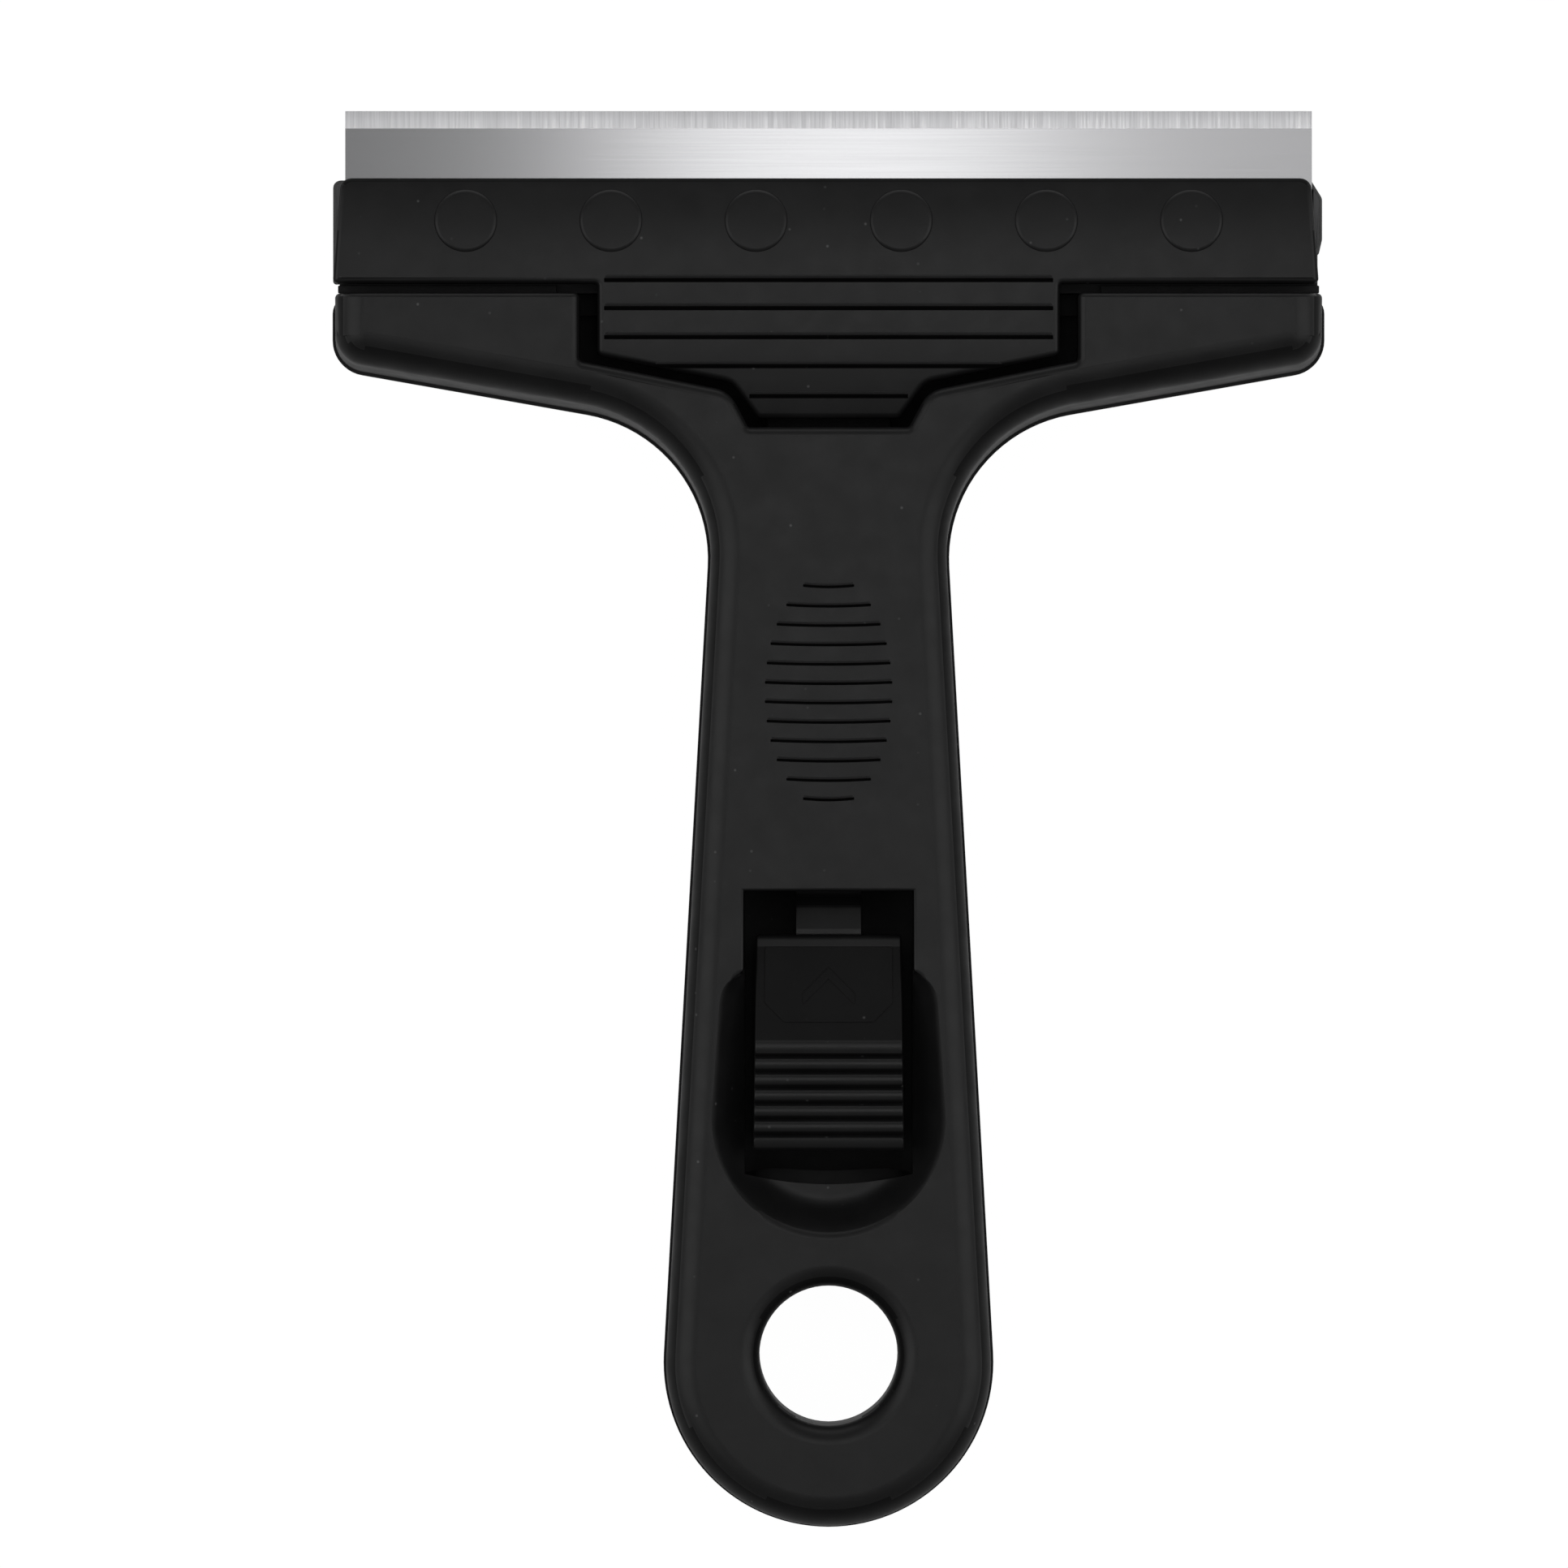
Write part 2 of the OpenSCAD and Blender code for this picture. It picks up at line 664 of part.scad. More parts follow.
module clamp_jaw() {
    color(plastic) difference() {
        union() {
            difference() {
                translate([0, 0, jaw_under]) linear_extrude(jaw_thickness) {
                    jaw_plate_outline();
                    polygon(tongue_outline);
                }
                jaw_face_cut();
            }
            tongue_rib_bars();
            jaw_pad_row();
            jaw_root();
        }
        // Socket for the nose of the lever arm
        block([-arm_width / 2 - seat_fit, pivot_y, arm_low_z - seat_fit],
              [arm_width / 2 + seat_fit, pivot_y + nose_length + seat_fit, arm_top_z + seat_fit]);
        translate([0, pivot_y, pivot_z]) bar_x(pin_r + pin_fit, 4 * jaw_root_half);
    }
}

// Lever arm

module lever_arm() {
    collar_width = 0.8;
    collar_rise = 1.2;
    collar_y = button_top_y + seat_fit;
    color(dark_plastic) difference() {
        union() {
            block([-arm_width / 2, arm_end_y, arm_low_z], [arm_width / 2, pivot_y + nose_length, arm_top_z]);
            translate([0, pivot_y, pivot_z]) bar_x(eye_r, arm_width);
            // Collar that the button is pushed up against
            block([-arm_width / 2, collar_y, pivot_z],
                  [arm_width / 2, collar_y + collar_width, arm_top_z + collar_rise]);
        }
        translate([0, pivot_y, pivot_z]) bar_x(pin_r + pin_fit, 2 * arm_width);
    }
}

// Thumb button

button_top_z = grip_thickness;
button_under_z = rear_wall + run_gap + press_travel;
button_ceiling = button_top_z - 2.4;

// Side view of the button: a sloping panel above, grooves below and rounded ends
function button_profile() =
    let (end_round = 1.2,
         head_round = 0.6,
         head_z = button_top_z - 0.8,
         groove_half = 0.25,
         groove_depth = 0.5,
         first_y = button_low_y + 1.7,
         grooves = [for (i = [0:button_grooves - 1])
             for (p = [[-groove_half, 0], [0, -groove_depth], [groove_half, 0]])
                 [first_y + i * groove_pitch + p[0], button_top_z + p[1]]])
    concat([[button_low_y, button_under_z]],
           arc([button_low_y + end_round, button_top_z - end_round], end_round, 180, 90, 4),
           grooves,
           [[first_y + button_grooves * groove_pitch, button_top_z], [button_top_y - head_round, head_z],
            [button_top_y, head_z - head_round], [button_top_y, button_under_z]]);

// Plan of the button, a little wider at its lower end
module button_plan(inset) {
    low_half = button_low_width / 2 - inset;
    top_half = button_top_width / 2 - inset;
    polygon([[-low_half, button_low_y + inset], [low_half, button_low_y + inset],
             [top_half, button_top_y - inset], [-top_half, button_top_y - inset]]);
}

// Low raised panel on the upper half of the button, with its lower corners cut off
module button_panel() {
    half = button_top_width / 2 - 0.9;
    low_y = button_top_y - 9;
    high_y = button_top_y - 1.2;
    corner = 2;
    panel_rise = 0.15;
    intersection() {
        translate([0, 0, button_under_z]) linear_extrude(grip_thickness)
            polygon([[-half, high_y], [-half, low_y + corner], [-half + corner, low_y],
                     [half - corner, low_y], [half, low_y + corner], [half, high_y]]);
        translate([0, 0, panel_rise]) along_x(button_low_width) polygon(button_profile());
    }
}

module press_button() {
    color(plastic) difference() {
        union() {
            intersection() {
                along_x(button_low_width) polygon(button_profile());
                linear_extrude(2 * grip_thickness) button_plan(0);
            }
            button_panel();
        }
        // Hollow round the spring, below the block that holds the arm
        difference() {
            linear_extrude(button_ceiling) button_plan(button_wall);
            block([-button_low_width, arm_end_y - button_wall, -bite],
                  [button_low_width, button_top_y, grip_thickness]);
            translate([0, spring_y, button_ceiling - spring_peg_height])
                cylinder(r = spring_peg_r, h = spring_peg_height + bite);
        }
        // Socket for the end of the lever arm
        block([-arm_width / 2 - seat_fit, arm_end_y - seat_fit, 0],
              [arm_width / 2 + seat_fit, button_top_y + bite, arm_top_z + seat_fit]);
    }
}

// Pivot pin with chamfered ends

module pivot_pin() {
    chamfer = 0.3;
    half = neck_inner - run_gap;
    profile = [[0, -half], [pin_r - chamfer, -half], [pin_r, chamfer - half],
               [pin_r, half - chamfer], [pin_r - chamfer, half], [0, half]];
    color(steel) translate([0, pivot_y, pivot_z]) rotate([0, 90, 0]) rotate_extrude() polygon(profile);
}

// Coil spring between the rear wall and the ceiling of the button, as one tube along a helix

spring_rings = 10;
wire_sides = 6;
spring_low = rear_wall + seat_fit + spring_wire / 2;
spring_high = button_ceiling - seat_fit - spring_wire / 2;
spring_mean_r = (spring_d - spring_wire) / 2;
coil_count = spring_rings * spring_turns;

function coil_point(i) =
    let (turn = i / spring_rings)
    [spring_mean_r * cos(360 * turn), spring_y + spring_mean_r * sin(360 * turn),
     spring_low + (spring_high - spring_low) * turn / spring_turns];

coil_points = [for (i = [0:coil_count]) for (k = [0:wire_sides - 1])
    let (a = 360 * i / spring_rings, b = 360 * k / wire_sides)
    coil_point(i) + spring_wire / 2 * [cos(a) * cos(b), sin(a) * cos(b), sin(b)]];
coil_faces = concat(
    [for (i = [0:coil_count - 1]) for (k = [0:wire_sides - 1])
        let (a = i * wire_sides + k, b = i * wire_sides + (k + 1) % wire_sides)
        each [[a, b + wire_sides, b], [a, a + wire_sides, b + wire_sides]]],
    [for (k = [1:wire_sides - 2]) [0, k, k + 1]],
    [for (k = [1:wire_sides - 2]) let (last = coil_count * wire_sides) [last, last + k + 1, last + k]]);
spring_gap = min([for (i = [0:coil_count - spring_rings])
    norm(coil_point(i + spring_rings) - coil_point(i))]) - spring_wire;
echo(spring_gap = spring_gap);

module return_spring() {
    color(dark_steel) polyhedron(points = coil_points, faces = coil_faces);
}

// Scraper blade, ground from both faces to its edge

module scraper_blade() {
    bevel_y = edge_y - bevel_height;
    blade_top = blade_z + blade_thickness;
    color(steel) along_x(blade_width / 2)
        polygon([[blade_back_y, blade_z], [bevel_y, blade_z], [edge_y, (blade_z + blade_top) / 2],
                 [bevel_y, blade_top], [blade_back_y, blade_top]]);
}

// Screws that join the shells, put in from the rear

module shell_screw() {
    shank_r = screw_d / 2;
    cross_half = 0.35;
    cross_reach = 1.4;
    cross_depth = 0.9;
    head_z = screw_seat_z - screw_head_height;
    point_z = screw_tip_z - shank_r;
    difference() {
        union() {
            translate([0, 0, head_z]) cylinder(d = screw_head_d, h = screw_head_height);
            translate([0, 0, screw_seat_z - bite]) cylinder(r = shank_r, h = point_z - screw_seat_z + bite);
            translate([0, 0, point_z]) cylinder(r1 = shank_r, r2 = shank_r / 3, h = shank_r);
        }
        for (turn = [0, 90]) rotate(turn)
            block([-cross_reach, -cross_half, head_z - bite],
                  [cross_reach, cross_half, head_z + cross_depth]);
    }
}

module shell_screws() {
    color(dark_steel) both_sides() for (place = screw_places)
        translate([place[0], place[1], 0]) shell_screw();
}

front_shell();
rear_shell();
clamp_jaw();
lever_arm();
press_button();
pivot_pin();
return_spring();
scraper_blade();
shell_screws();
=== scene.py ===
# %% [markdown]
# # A glass scraper, piece by piece
# The scraper is a T-shaped hand tool of black moulded plastic that clamps a wide steel blade.
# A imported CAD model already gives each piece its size, its place and its motion.
# This lesson draws every piece again with finer shapes, gives it a finish, and sets up camera and light.
# The pieces are drawn in millimetres and are turned into metres when they are done.

# %% Load the frame
import math

import bmesh
import bpy
from mathutils import Matrix, Vector


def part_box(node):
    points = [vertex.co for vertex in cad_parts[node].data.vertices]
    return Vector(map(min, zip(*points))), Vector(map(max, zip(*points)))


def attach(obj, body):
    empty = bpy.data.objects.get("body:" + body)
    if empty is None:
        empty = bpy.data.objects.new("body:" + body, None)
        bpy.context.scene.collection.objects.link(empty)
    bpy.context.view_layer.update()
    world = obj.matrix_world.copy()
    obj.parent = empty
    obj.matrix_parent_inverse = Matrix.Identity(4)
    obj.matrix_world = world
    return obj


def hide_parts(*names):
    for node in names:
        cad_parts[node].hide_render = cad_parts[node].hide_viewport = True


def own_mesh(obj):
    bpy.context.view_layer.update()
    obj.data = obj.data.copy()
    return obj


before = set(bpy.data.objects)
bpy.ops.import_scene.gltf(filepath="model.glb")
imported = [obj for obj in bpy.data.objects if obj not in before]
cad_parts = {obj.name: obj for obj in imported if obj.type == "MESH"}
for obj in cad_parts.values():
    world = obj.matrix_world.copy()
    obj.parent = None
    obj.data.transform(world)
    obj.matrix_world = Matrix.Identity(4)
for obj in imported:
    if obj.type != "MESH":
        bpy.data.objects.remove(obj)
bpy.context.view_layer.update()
MM = 0.001

# %% [markdown]
# Most moulded pieces start as a flat outline of straight lines and arcs.
# It could be typed in as a long list of points, but a short list of moves is easier to read and to change.
# The pen below extrudes a vertex for each line and spins it for each arc, and a round corner is both.


# %% Pen for outlines
class Pen:
    """Draws an outline on one level. A corner is (x, y, radius)."""

    def __init__(self, bm, x, y, level=0.0):
        self.bm = bm
        self.first = bm.verts.new((x, y, level))
        self.tip = self.first

    def line(self, x, y):
        self.tip = bmesh.ops.extrude_vert_indiv(self.bm, verts=[self.tip])["verts"][0]
        self.tip.co.xy = x, y

    def arc(self, centre, degrees, steps):
        middle = (centre[0], centre[1], self.tip.co.z)
        spun = bmesh.ops.spin(self.bm, geom=[self.tip], cent=middle, axis=(0, 0, 1),
                              angle=math.radians(degrees), steps=steps)
        self.tip = spun["geom_last"][0]

    def corners(self, path, steps=5):
        """Draws round each corner of the path and on to its last point."""
        for here, following in zip(path, path[1:]):
            corner = Vector(here[:2])
            back = (self.tip.co.xy - corner).normalized()
            ahead = (Vector(following[:2]) - corner).normalized()
            radius = here[2]
            if radius == 0:
                self.line(*corner)
                continue
            half = back.angle(ahead) / 2
            self.line(*(corner + back * radius / math.tan(half)))
            centre = corner + (back + ahead).normalized() * radius / math.sin(half)
            turn = math.copysign(180 - 2 * math.degrees(half), ahead.cross(back))
            self.arc(centre, turn, steps)
        self.line(*path[-1][:2])

    def join(self):
        """Joins the last point to the first and returns the edges of the loop."""
        self.bm.edges.new((self.tip, self.first))
        return [edge for edge in self.bm.edges if not edge.link_faces]

    def close(self):
        """Joins the loop, fills it and returns its face."""
        return bmesh.ops.contextual_create(self.bm, geom=self.join())["faces"][0]


print("The pen draws lines, arcs and round corners.")

# %% [markdown]
# An outline becomes a solid when its edges or its face are extruded, and soft edges give it a moulded look.
# These small helpers wrap the operators that nearly every piece needs.
# A bevel in code needs its segments and profile spelled out, because its defaults differ from the editor's.

# %% Helpers for solids
NEAR = 0.001
SAME_SPOT = 0.0005
ON_PLANE = 0.0001


def everything(bm):
    return bm.verts[:] + bm.edges[:] + bm.faces[:]


def only(kind, geometry):
    return [item for item in geometry if isinstance(item, kind)]


def drop(bm, edges, level):
    """Extrudes edges straight to a level and returns the new edges there."""
    made = bmesh.ops.extrude_edge_only(bm, edges=list(edges))["geom"]
    fresh = set(only(bmesh.types.BMVert, made))
    for vert in fresh:
        vert.co.z = level
    return [edge for edge in only(bmesh.types.BMEdge, made) if set(edge.verts) <= fresh]


def raise_face(bm, face, move):
    """Extrudes one face by a move and returns the new face."""
    made = bmesh.ops.extrude_face_region(bm, geom=[face])["geom"]
    bmesh.ops.translate(bm, vec=move, verts=only(bmesh.types.BMVert, made))
    return only(bmesh.types.BMFace, made)[0]


def soften(bm, edges, width, segments=3):
    bmesh.ops.bevel(bm, geom=list(edges), offset=width, offset_type="OFFSET", segments=segments,
                    profile=0.5, affect="EDGES", clamp_overlap=False, material=-1)


def sharp_edges(bm, wanted, least=40):
    """Convex edges that turn by more than a number of degrees and whose middle is wanted."""
    bm.normal_update()
    found = []
    for edge in bm.edges:
        if len(edge.link_faces) == 2 and edge.is_convex and edge.calc_face_angle() > math.radians(least):
            if wanted((edge.verts[0].co + edge.verts[1].co) / 2):
                found.append(edge)
    return found


def faces_out(bm):
    """Merges points that lie in one spot and turns all faces outwards."""
    bmesh.ops.remove_doubles(bm, verts=bm.verts, dist=SAME_SPOT)
    bmesh.ops.recalc_face_normals(bm, faces=bm.faces)


def both_sides(bm):
    """Mirrors a half that was drawn at X >= 0 and merges the two along X = 0."""
    bmesh.ops.mirror(bm, geom=everything(bm), axis="X", merge_dist=SAME_SPOT)
    faces_out(bm)


def whole_block(bm, faces, move):
    """Extrudes the faces of a half, opens it along X = 0 and mirrors it into a whole block."""
    made = bmesh.ops.extrude_face_region(bm, geom=faces)["geom"]
    bmesh.ops.translate(bm, vec=move, verts=only(bmesh.types.BMVert, made))
    middle = [face for face in bm.faces if all(abs(vert.co.x) < NEAR for vert in face.verts)]
    bmesh.ops.delete(bm, geom=middle, context="FACES_ONLY")
    both_sides(bm)


def cut_across(bm, y):
    """Cuts a mesh along the plane of one Y and keeps both sides."""
    bmesh.ops.bisect_plane(bm, geom=everything(bm), dist=ON_PLANE, plane_co=(0, y, 0), plane_no=(0, 1, 0))


def take_in(bm, other):
    """Moves the mesh of another bmesh into this one."""
    faces_out(other)
    mesh = bpy.data.meshes.new("passed_on")
    other.to_mesh(mesh)
    other.free()
    bm.from_mesh(mesh)
    bpy.data.meshes.remove(mesh)


def stand_up(bm):
    """Turns a side view, drawn as Y across and Z up, from the level of X and Y into the plane X = 0."""
    bmesh.ops.rotate(bm, verts=bm.verts, matrix=Matrix(((0, 0, 1), (1, 0, 0), (0, 1, 0))))


def block(low, high, soft=0.0):
    """A block between two corners, with all its edges softened."""
    bm = bmesh.new()
    size = Vector(high) - Vector(low)
    place = Matrix.Translation((Vector(low) + Vector(high)) / 2) @ Matrix.Diagonal((*size, 1))
    bmesh.ops.create_cube(bm, size=1, matrix=place)
    if soft:
        soften(bm, bm.edges, soft, 2)
    return bm


print("Helpers for extruding, softening, mirroring and joining are ready.")

# %% [markdown]
# A finished piece needs the same last steps each time: metres, smooth shading, its materials and a place in
# the frame. Large flat faces next to narrow soft edges shade badly with plain smooth normals, so weighted
# normals are used. The piece rides on its CAD body and stands for its CAD node. A moulding shows more than
# one finish, and steep walls look duller than flat faces. So a face can take the second or third material of
# its piece by its place and the way it looks.

# %% Finish a piece
SMOOTH_LIMIT = math.radians(32)
STEEP = 0.72


def piece(bm, name, body, node, slot, *materials):
    """Turns a bmesh into a finished object that rides on a body and stands for a CAD node."""
    bmesh.ops.scale(bm, vec=(MM, MM, MM), verts=bm.verts)
    mesh = bpy.data.meshes.new(name)
    bm.to_mesh(mesh)
    bm.free()
    mesh.shade_smooth()
    mesh.set_sharp_from_angle(angle=SMOOTH_LIMIT)
    for material in materials:
        mesh.materials.append(material)
    made = bpy.data.objects.new(name, mesh)
    bpy.context.scene.collection.objects.link(made)
    weights = made.modifiers.new("Face weights", "WEIGHTED_NORMAL")
    weights.keep_sharp = True
    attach(made, body)
    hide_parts(node)
    corners = [Vector(corner) for corner in made.bound_box]
    low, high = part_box(node)
    below = [round((min(c[i] for c in corners) - low[i]) / MM, 2) for i in range(3)]
    above = [round((max(c[i] for c in corners) - high[i]) / MM, 2) for i in range(3)]
    open_edges = sum(1 for count in edge_use(mesh) if count != 2)
    print(f"{name}: {len(mesh.polygons)} faces, {open_edges} open edges,",
          f"off its CAD box by {below} and {above} mm")
    return made


def steep(middle, facing):
    """Whether a face with this middle and normal is steep, which only the normal decides."""
    return abs(facing.z) < STEEP


def finish_by_facing(bm, second=steep, third=None):
    """Gives faces the second or third finish of a piece. A face that has one already keeps it."""
    bm.normal_update()
    for face in bm.faces:
        if face.material_index:
            continue
        middle = face.calc_center_median()
        if third and third(middle, face.normal):
            face.material_index = 2
        elif second(middle, face.normal):
            face.material_index = 1


def edge_use(mesh):
    """How many faces use each edge of a mesh."""
    uses = [0] * len(mesh.edges)
    for loop in mesh.loops:
        uses[loop.edge_index] += 1
    return uses


print("A face counts as steep when it leans by more than", round(math.degrees(math.acos(STEEP))), "degrees.")

# %% [markdown]
# A material is a small graph of nodes. It could be drawn in the editor, but code keeps it in the lesson.
# Each helper adds one kind of node, sets it, links what it needs and gives back its output.
# All patterns read Object coordinates, which are metres here, so the scale of a noise is counted per metre.

# %% Helpers for materials
MID_NOISE = (0.3, 0.7)
COOLER = 1.02


def node_tree(name):
    """A new material with its tree, its shader and its Object coordinates."""
    material = bpy.data.materials.new(name)
    material.use_nodes = True
    tree = material.node_tree
    shader = tree.nodes["Principled BSDF"]
    place = tree.nodes.new("ShaderNodeTexCoord").outputs["Object"]
    return material, tree, shader, place


def noise(tree, place, scale, detail=2.0):
    texture = tree.nodes.new("ShaderNodeTexNoise")
    texture.inputs["Scale"].default_value = scale
    texture.inputs["Detail"].default_value = detail
    tree.links.new(place, texture.inputs["Vector"])
    return texture.outputs["Fac"]


def between(tree, source, low, high, to_low, to_high):
    """Maps a stretch of values to another stretch."""
    mapped = tree.nodes.new("ShaderNodeMapRange")
    for socket, value in zip(("From Min", "From Max", "To Min", "To Max"), (low, high, to_low, to_high)):
        mapped.inputs[socket].default_value = value
    tree.links.new(source, mapped.inputs["Value"])
    return mapped.outputs["Result"]


def ramp(tree, source, stops):
    """Colours along a value, from stops of (place, grey)."""
    band = tree.nodes.new("ShaderNodeValToRGB")
    for stop, (at, grey) in zip(band.color_ramp.elements, stops):
        stop.position = at
        stop.color = (grey, grey, grey * COOLER, 1)
    tree.links.new(source, band.inputs["Fac"])
    return band.outputs["Color"]


def bump(tree, source, strength, distance, under=None):
    made = tree.nodes.new("ShaderNodeBump")
    made.inputs["Strength"].default_value = strength
    made.inputs["Distance"].default_value = distance
    tree.links.new(source, made.inputs["Height"])
    if under:
        tree.links.new(under, made.inputs["Normal"])
    return made.outputs["Normal"]


print("Helpers for materials are ready. Most of a noise lies between", *MID_NOISE)

# %% [markdown]
# The black plastic is a plain satin moulding: nearly black, with a faint mottle, a fine spark-eroded grain
# and a few specks of dust. It could be one dark colour, but then every flat face would look like paper.
# Noise moves the colour and the roughness a little, and a finer noise gives the grain.
# One recipe gives all the finishes: the satin of shells, jaw and button, a darker and duller one for the
# button's panel, a rougher one for steep walls, a matt one for the inside that is painted paler as light in
# its shade, and a pale one for the crests beside the blade that is a painted highlight.

# %% Black moulded plastic
MOTTLE_PER_METRE = 180
SHEEN_PER_METRE = 420
GRAIN_PER_METRE = 9000
SPECKS_PER_METRE = 520
SPECK_GREY = 0.1
SPECK_RIM = (0.03, 0.1)
SPECK_CHOICE = (0.7, 0.95)
GRAIN_HEIGHT = 0.00002
MOTTLE_HEIGHT = 0.00005


def dust(tree, place, per_metre):
    """A mask of a few small specks: some cells of a Voronoi texture hold one."""
    cells = tree.nodes.new("ShaderNodeTexVoronoi")
    cells.inputs["Scale"].default_value = per_metre
    tree.links.new(place, cells.inputs["Vector"])
    chosen = tree.nodes.new("ShaderNodeSeparateColor")
    tree.links.new(cells.outputs["Color"], chosen.inputs["Color"])
    near = between(tree, cells.outputs["Distance"], *SPECK_RIM, 1, 0)
    picked = between(tree, chosen.outputs["Red"], *SPECK_CHOICE, 0, 1)
    both = tree.nodes.new("ShaderNodeMath")
    both.operation = "MULTIPLY"
    tree.links.new(near, both.inputs[0])
    tree.links.new(picked, both.inputs[1])
    return both.outputs["Value"]


def moulded_plastic(name, grey, rough, gloss):
    """Satin plastic whose grey and roughness each wander between two values."""
    material, tree, shader, place = node_tree(name)
    mottle = noise(tree, place, MOTTLE_PER_METRE, 4)
    tint = ramp(tree, mottle, zip(MID_NOISE, grey))
    specks = dust(tree, place, SPECKS_PER_METRE)
    mixed = tree.nodes.new("ShaderNodeMix")
    mixed.data_type = "RGBA"
    mixed.inputs["B"].default_value = (SPECK_GREY, SPECK_GREY, SPECK_GREY, 1)
    tree.links.new(specks, mixed.inputs["Factor"])
    tree.links.new(tint, mixed.inputs["A"])
    tree.links.new(mixed.outputs["Result"], shader.inputs["Base Color"])
    sheen = between(tree, noise(tree, place, SHEEN_PER_METRE, 3), *MID_NOISE, *rough)
    tree.links.new(sheen, shader.inputs["Roughness"])
    grain = bump(tree, noise(tree, place, GRAIN_PER_METRE, 1), 0.16, GRAIN_HEIGHT)
    tree.links.new(bump(tree, mottle, 0.05, MOTTLE_HEIGHT, grain), shader.inputs["Normal"])
    shader.inputs["Specular IOR Level"].default_value = gloss
    return material


shell_plastic = moulded_plastic("shell_plastic", grey=(0.0088, 0.0128), rough=(0.34, 0.42), gloss=0.385)
jaw_plastic = moulded_plastic("jaw_plastic", grey=(0.0088, 0.0128), rough=(0.34, 0.42), gloss=0.4)
button_plastic = moulded_plastic("button_plastic", grey=(0.008, 0.011), rough=(0.34, 0.42), gloss=0.45)
panel_plastic = moulded_plastic("panel_plastic", grey=(0.005, 0.0075), rough=(0.4, 0.46), gloss=0.19)
side_plastic = moulded_plastic("side_plastic", grey=(0.0078, 0.0112), rough=(0.5, 0.58), gloss=0.12)
# The inside plastic is matt and two to three times paler than the shell: painted light that lifts faces lying
# deep in shade.
inside_painted_light_plastic = moulded_plastic("inside_painted_light_plastic", grey=(0.024, 0.03), rough=(0.6, 0.7), gloss=0.15)
# The crest plastic is a pale grey: a painted highlight for the ears' crests, where their top edges catch the
# light.
painted_highlight_plastic = moulded_plastic("painted_highlight_plastic", grey=(0.11, 0.15), rough=(0.4, 0.5), gloss=0.4)
print("Made seven plastics.")

# %% [markdown]
# The blade is bright strip steel. Rolling leaves long, very faint lines along it, and grinding the edge
# leaves plain short lines square to it. Both are noise that a Mapping node stretches one way.
# The lines move the roughness too, because a metal shows its finish in what it mirrors.
# Pin, spring and screws have duller steels of the same kind.

# %% Steels
LINE_HEIGHT = 0.00002


def stretched(tree, place, scale):
    mapping = tree.nodes.new("ShaderNodeMapping")
    mapping.inputs["Scale"].default_value = scale
    tree.links.new(place, mapping.inputs["Vector"])
    return mapping.outputs["Vector"]


def lined_steel(name, grey, rough, scale, relief):
    """Steel with fine lines: a noise that has a scale for each axis. Lighter lines are smoother."""
    material, tree, shader, place = node_tree(name)
    lines = noise(tree, stretched(tree, place, scale), 1, 3)
    tree.links.new(ramp(tree, lines, zip(MID_NOISE, grey)), shader.inputs["Base Color"])
    tree.links.new(between(tree, lines, *MID_NOISE, *reversed(rough)), shader.inputs["Roughness"])
    tree.links.new(bump(tree, lines, relief, LINE_HEIGHT), shader.inputs["Normal"])
    shader.inputs["Metallic"].default_value = 1
    return material


blade_steel = lined_steel("blade_steel", grey=(0.45, 0.47), rough=(0.127, 0.134),
                          scale=(60, 6000, 6000), relief=0.002)
ground_steel = lined_steel("ground_steel", grey=(0.84, 1.0), rough=(0.3, 0.42),
                           scale=(5200, 120, 120), relief=0.25)
pin_steel = lined_steel("pin_steel", grey=(0.5, 0.62), rough=(0.25, 0.35),
                        scale=(6000, 400, 400), relief=0.2)
spring_steel = lined_steel("spring_steel", grey=(0.38, 0.48), rough=(0.3, 0.42),
                           scale=(900, 900, 3000), relief=0.2)
screw_steel = lined_steel("screw_steel", grey=(0.34, 0.46), rough=(0.32, 0.5),
                          scale=(1500, 1500, 300), relief=0.25)
print("Made five steels.")

# %% [markdown]
# Both shells share one plan: a round end, tapering sides, a hollow under each wing and a small corner at its
# tip. Three arcs and the lines between them give one half of it, so it is drawn from their centres and radii.
# Only the right half is drawn. The mirror makes the left one, which keeps the two sides alike.

# %% Plan of the grip
END_Y = -56.2
END_R = 17.09
HOLLOW = Vector((27.7, 27.0))
HOLLOW_R = 15.2
WING_SLOPE = 10
TIP_R = 3.6
HEAD_HALF = 51.39
SHOULDER_Y = 54.4
HOLE_Y = -55.3
HOLE_R = 7.15
JOINT_Z = 5.0
FRONT_Z = 15.0


def around(centre, radius, degrees):
    """The point at a distance and in a direction from a centre."""
    turn = math.radians(degrees)
    return Vector(centre) + radius * Vector((math.cos(turn), math.sin(turn)))


CENTRES = HOLLOW - Vector((0, END_Y))
TAPER = math.degrees(math.atan2(CENTRES.y, CENTRES.x) - math.acos((END_R + HOLLOW_R) / CENTRES.length))
WING_START = around(HOLLOW, HOLLOW_R, 90 + WING_SLOPE)
WING_RISE = math.tan(math.radians(WING_SLOPE))
TIP_X = HEAD_HALF - TIP_R
TIP_Y = WING_START.y + (TIP_X - WING_START.x) * WING_RISE + TIP_R / math.cos(math.radians(WING_SLOPE))
TIP = Vector((TIP_X, TIP_Y))


def draw_grip(pen, inset):
    """From the middle of the round end, up the right side and round the hollow to the start of the wing."""
    pen.arc((0, END_Y), 90 + TAPER, 30)
    pen.line(*around(HOLLOW, HOLLOW_R + inset, 180 + TAPER))
    pen.arc(HOLLOW, WING_SLOPE - 90 - TAPER, 20)


def draw_wing(pen, inset, top_y):
    """Out along the wing and round its tip."""
    pen.line(*around(TIP, TIP_R - inset, WING_SLOPE - 90))
    pen.arc(TIP, 90 - WING_SLOPE, 10)
    pen.line(HEAD_HALF - inset, top_y)


print("The plan is", 2 * HEAD_HALF, "mm wide at the wings.")

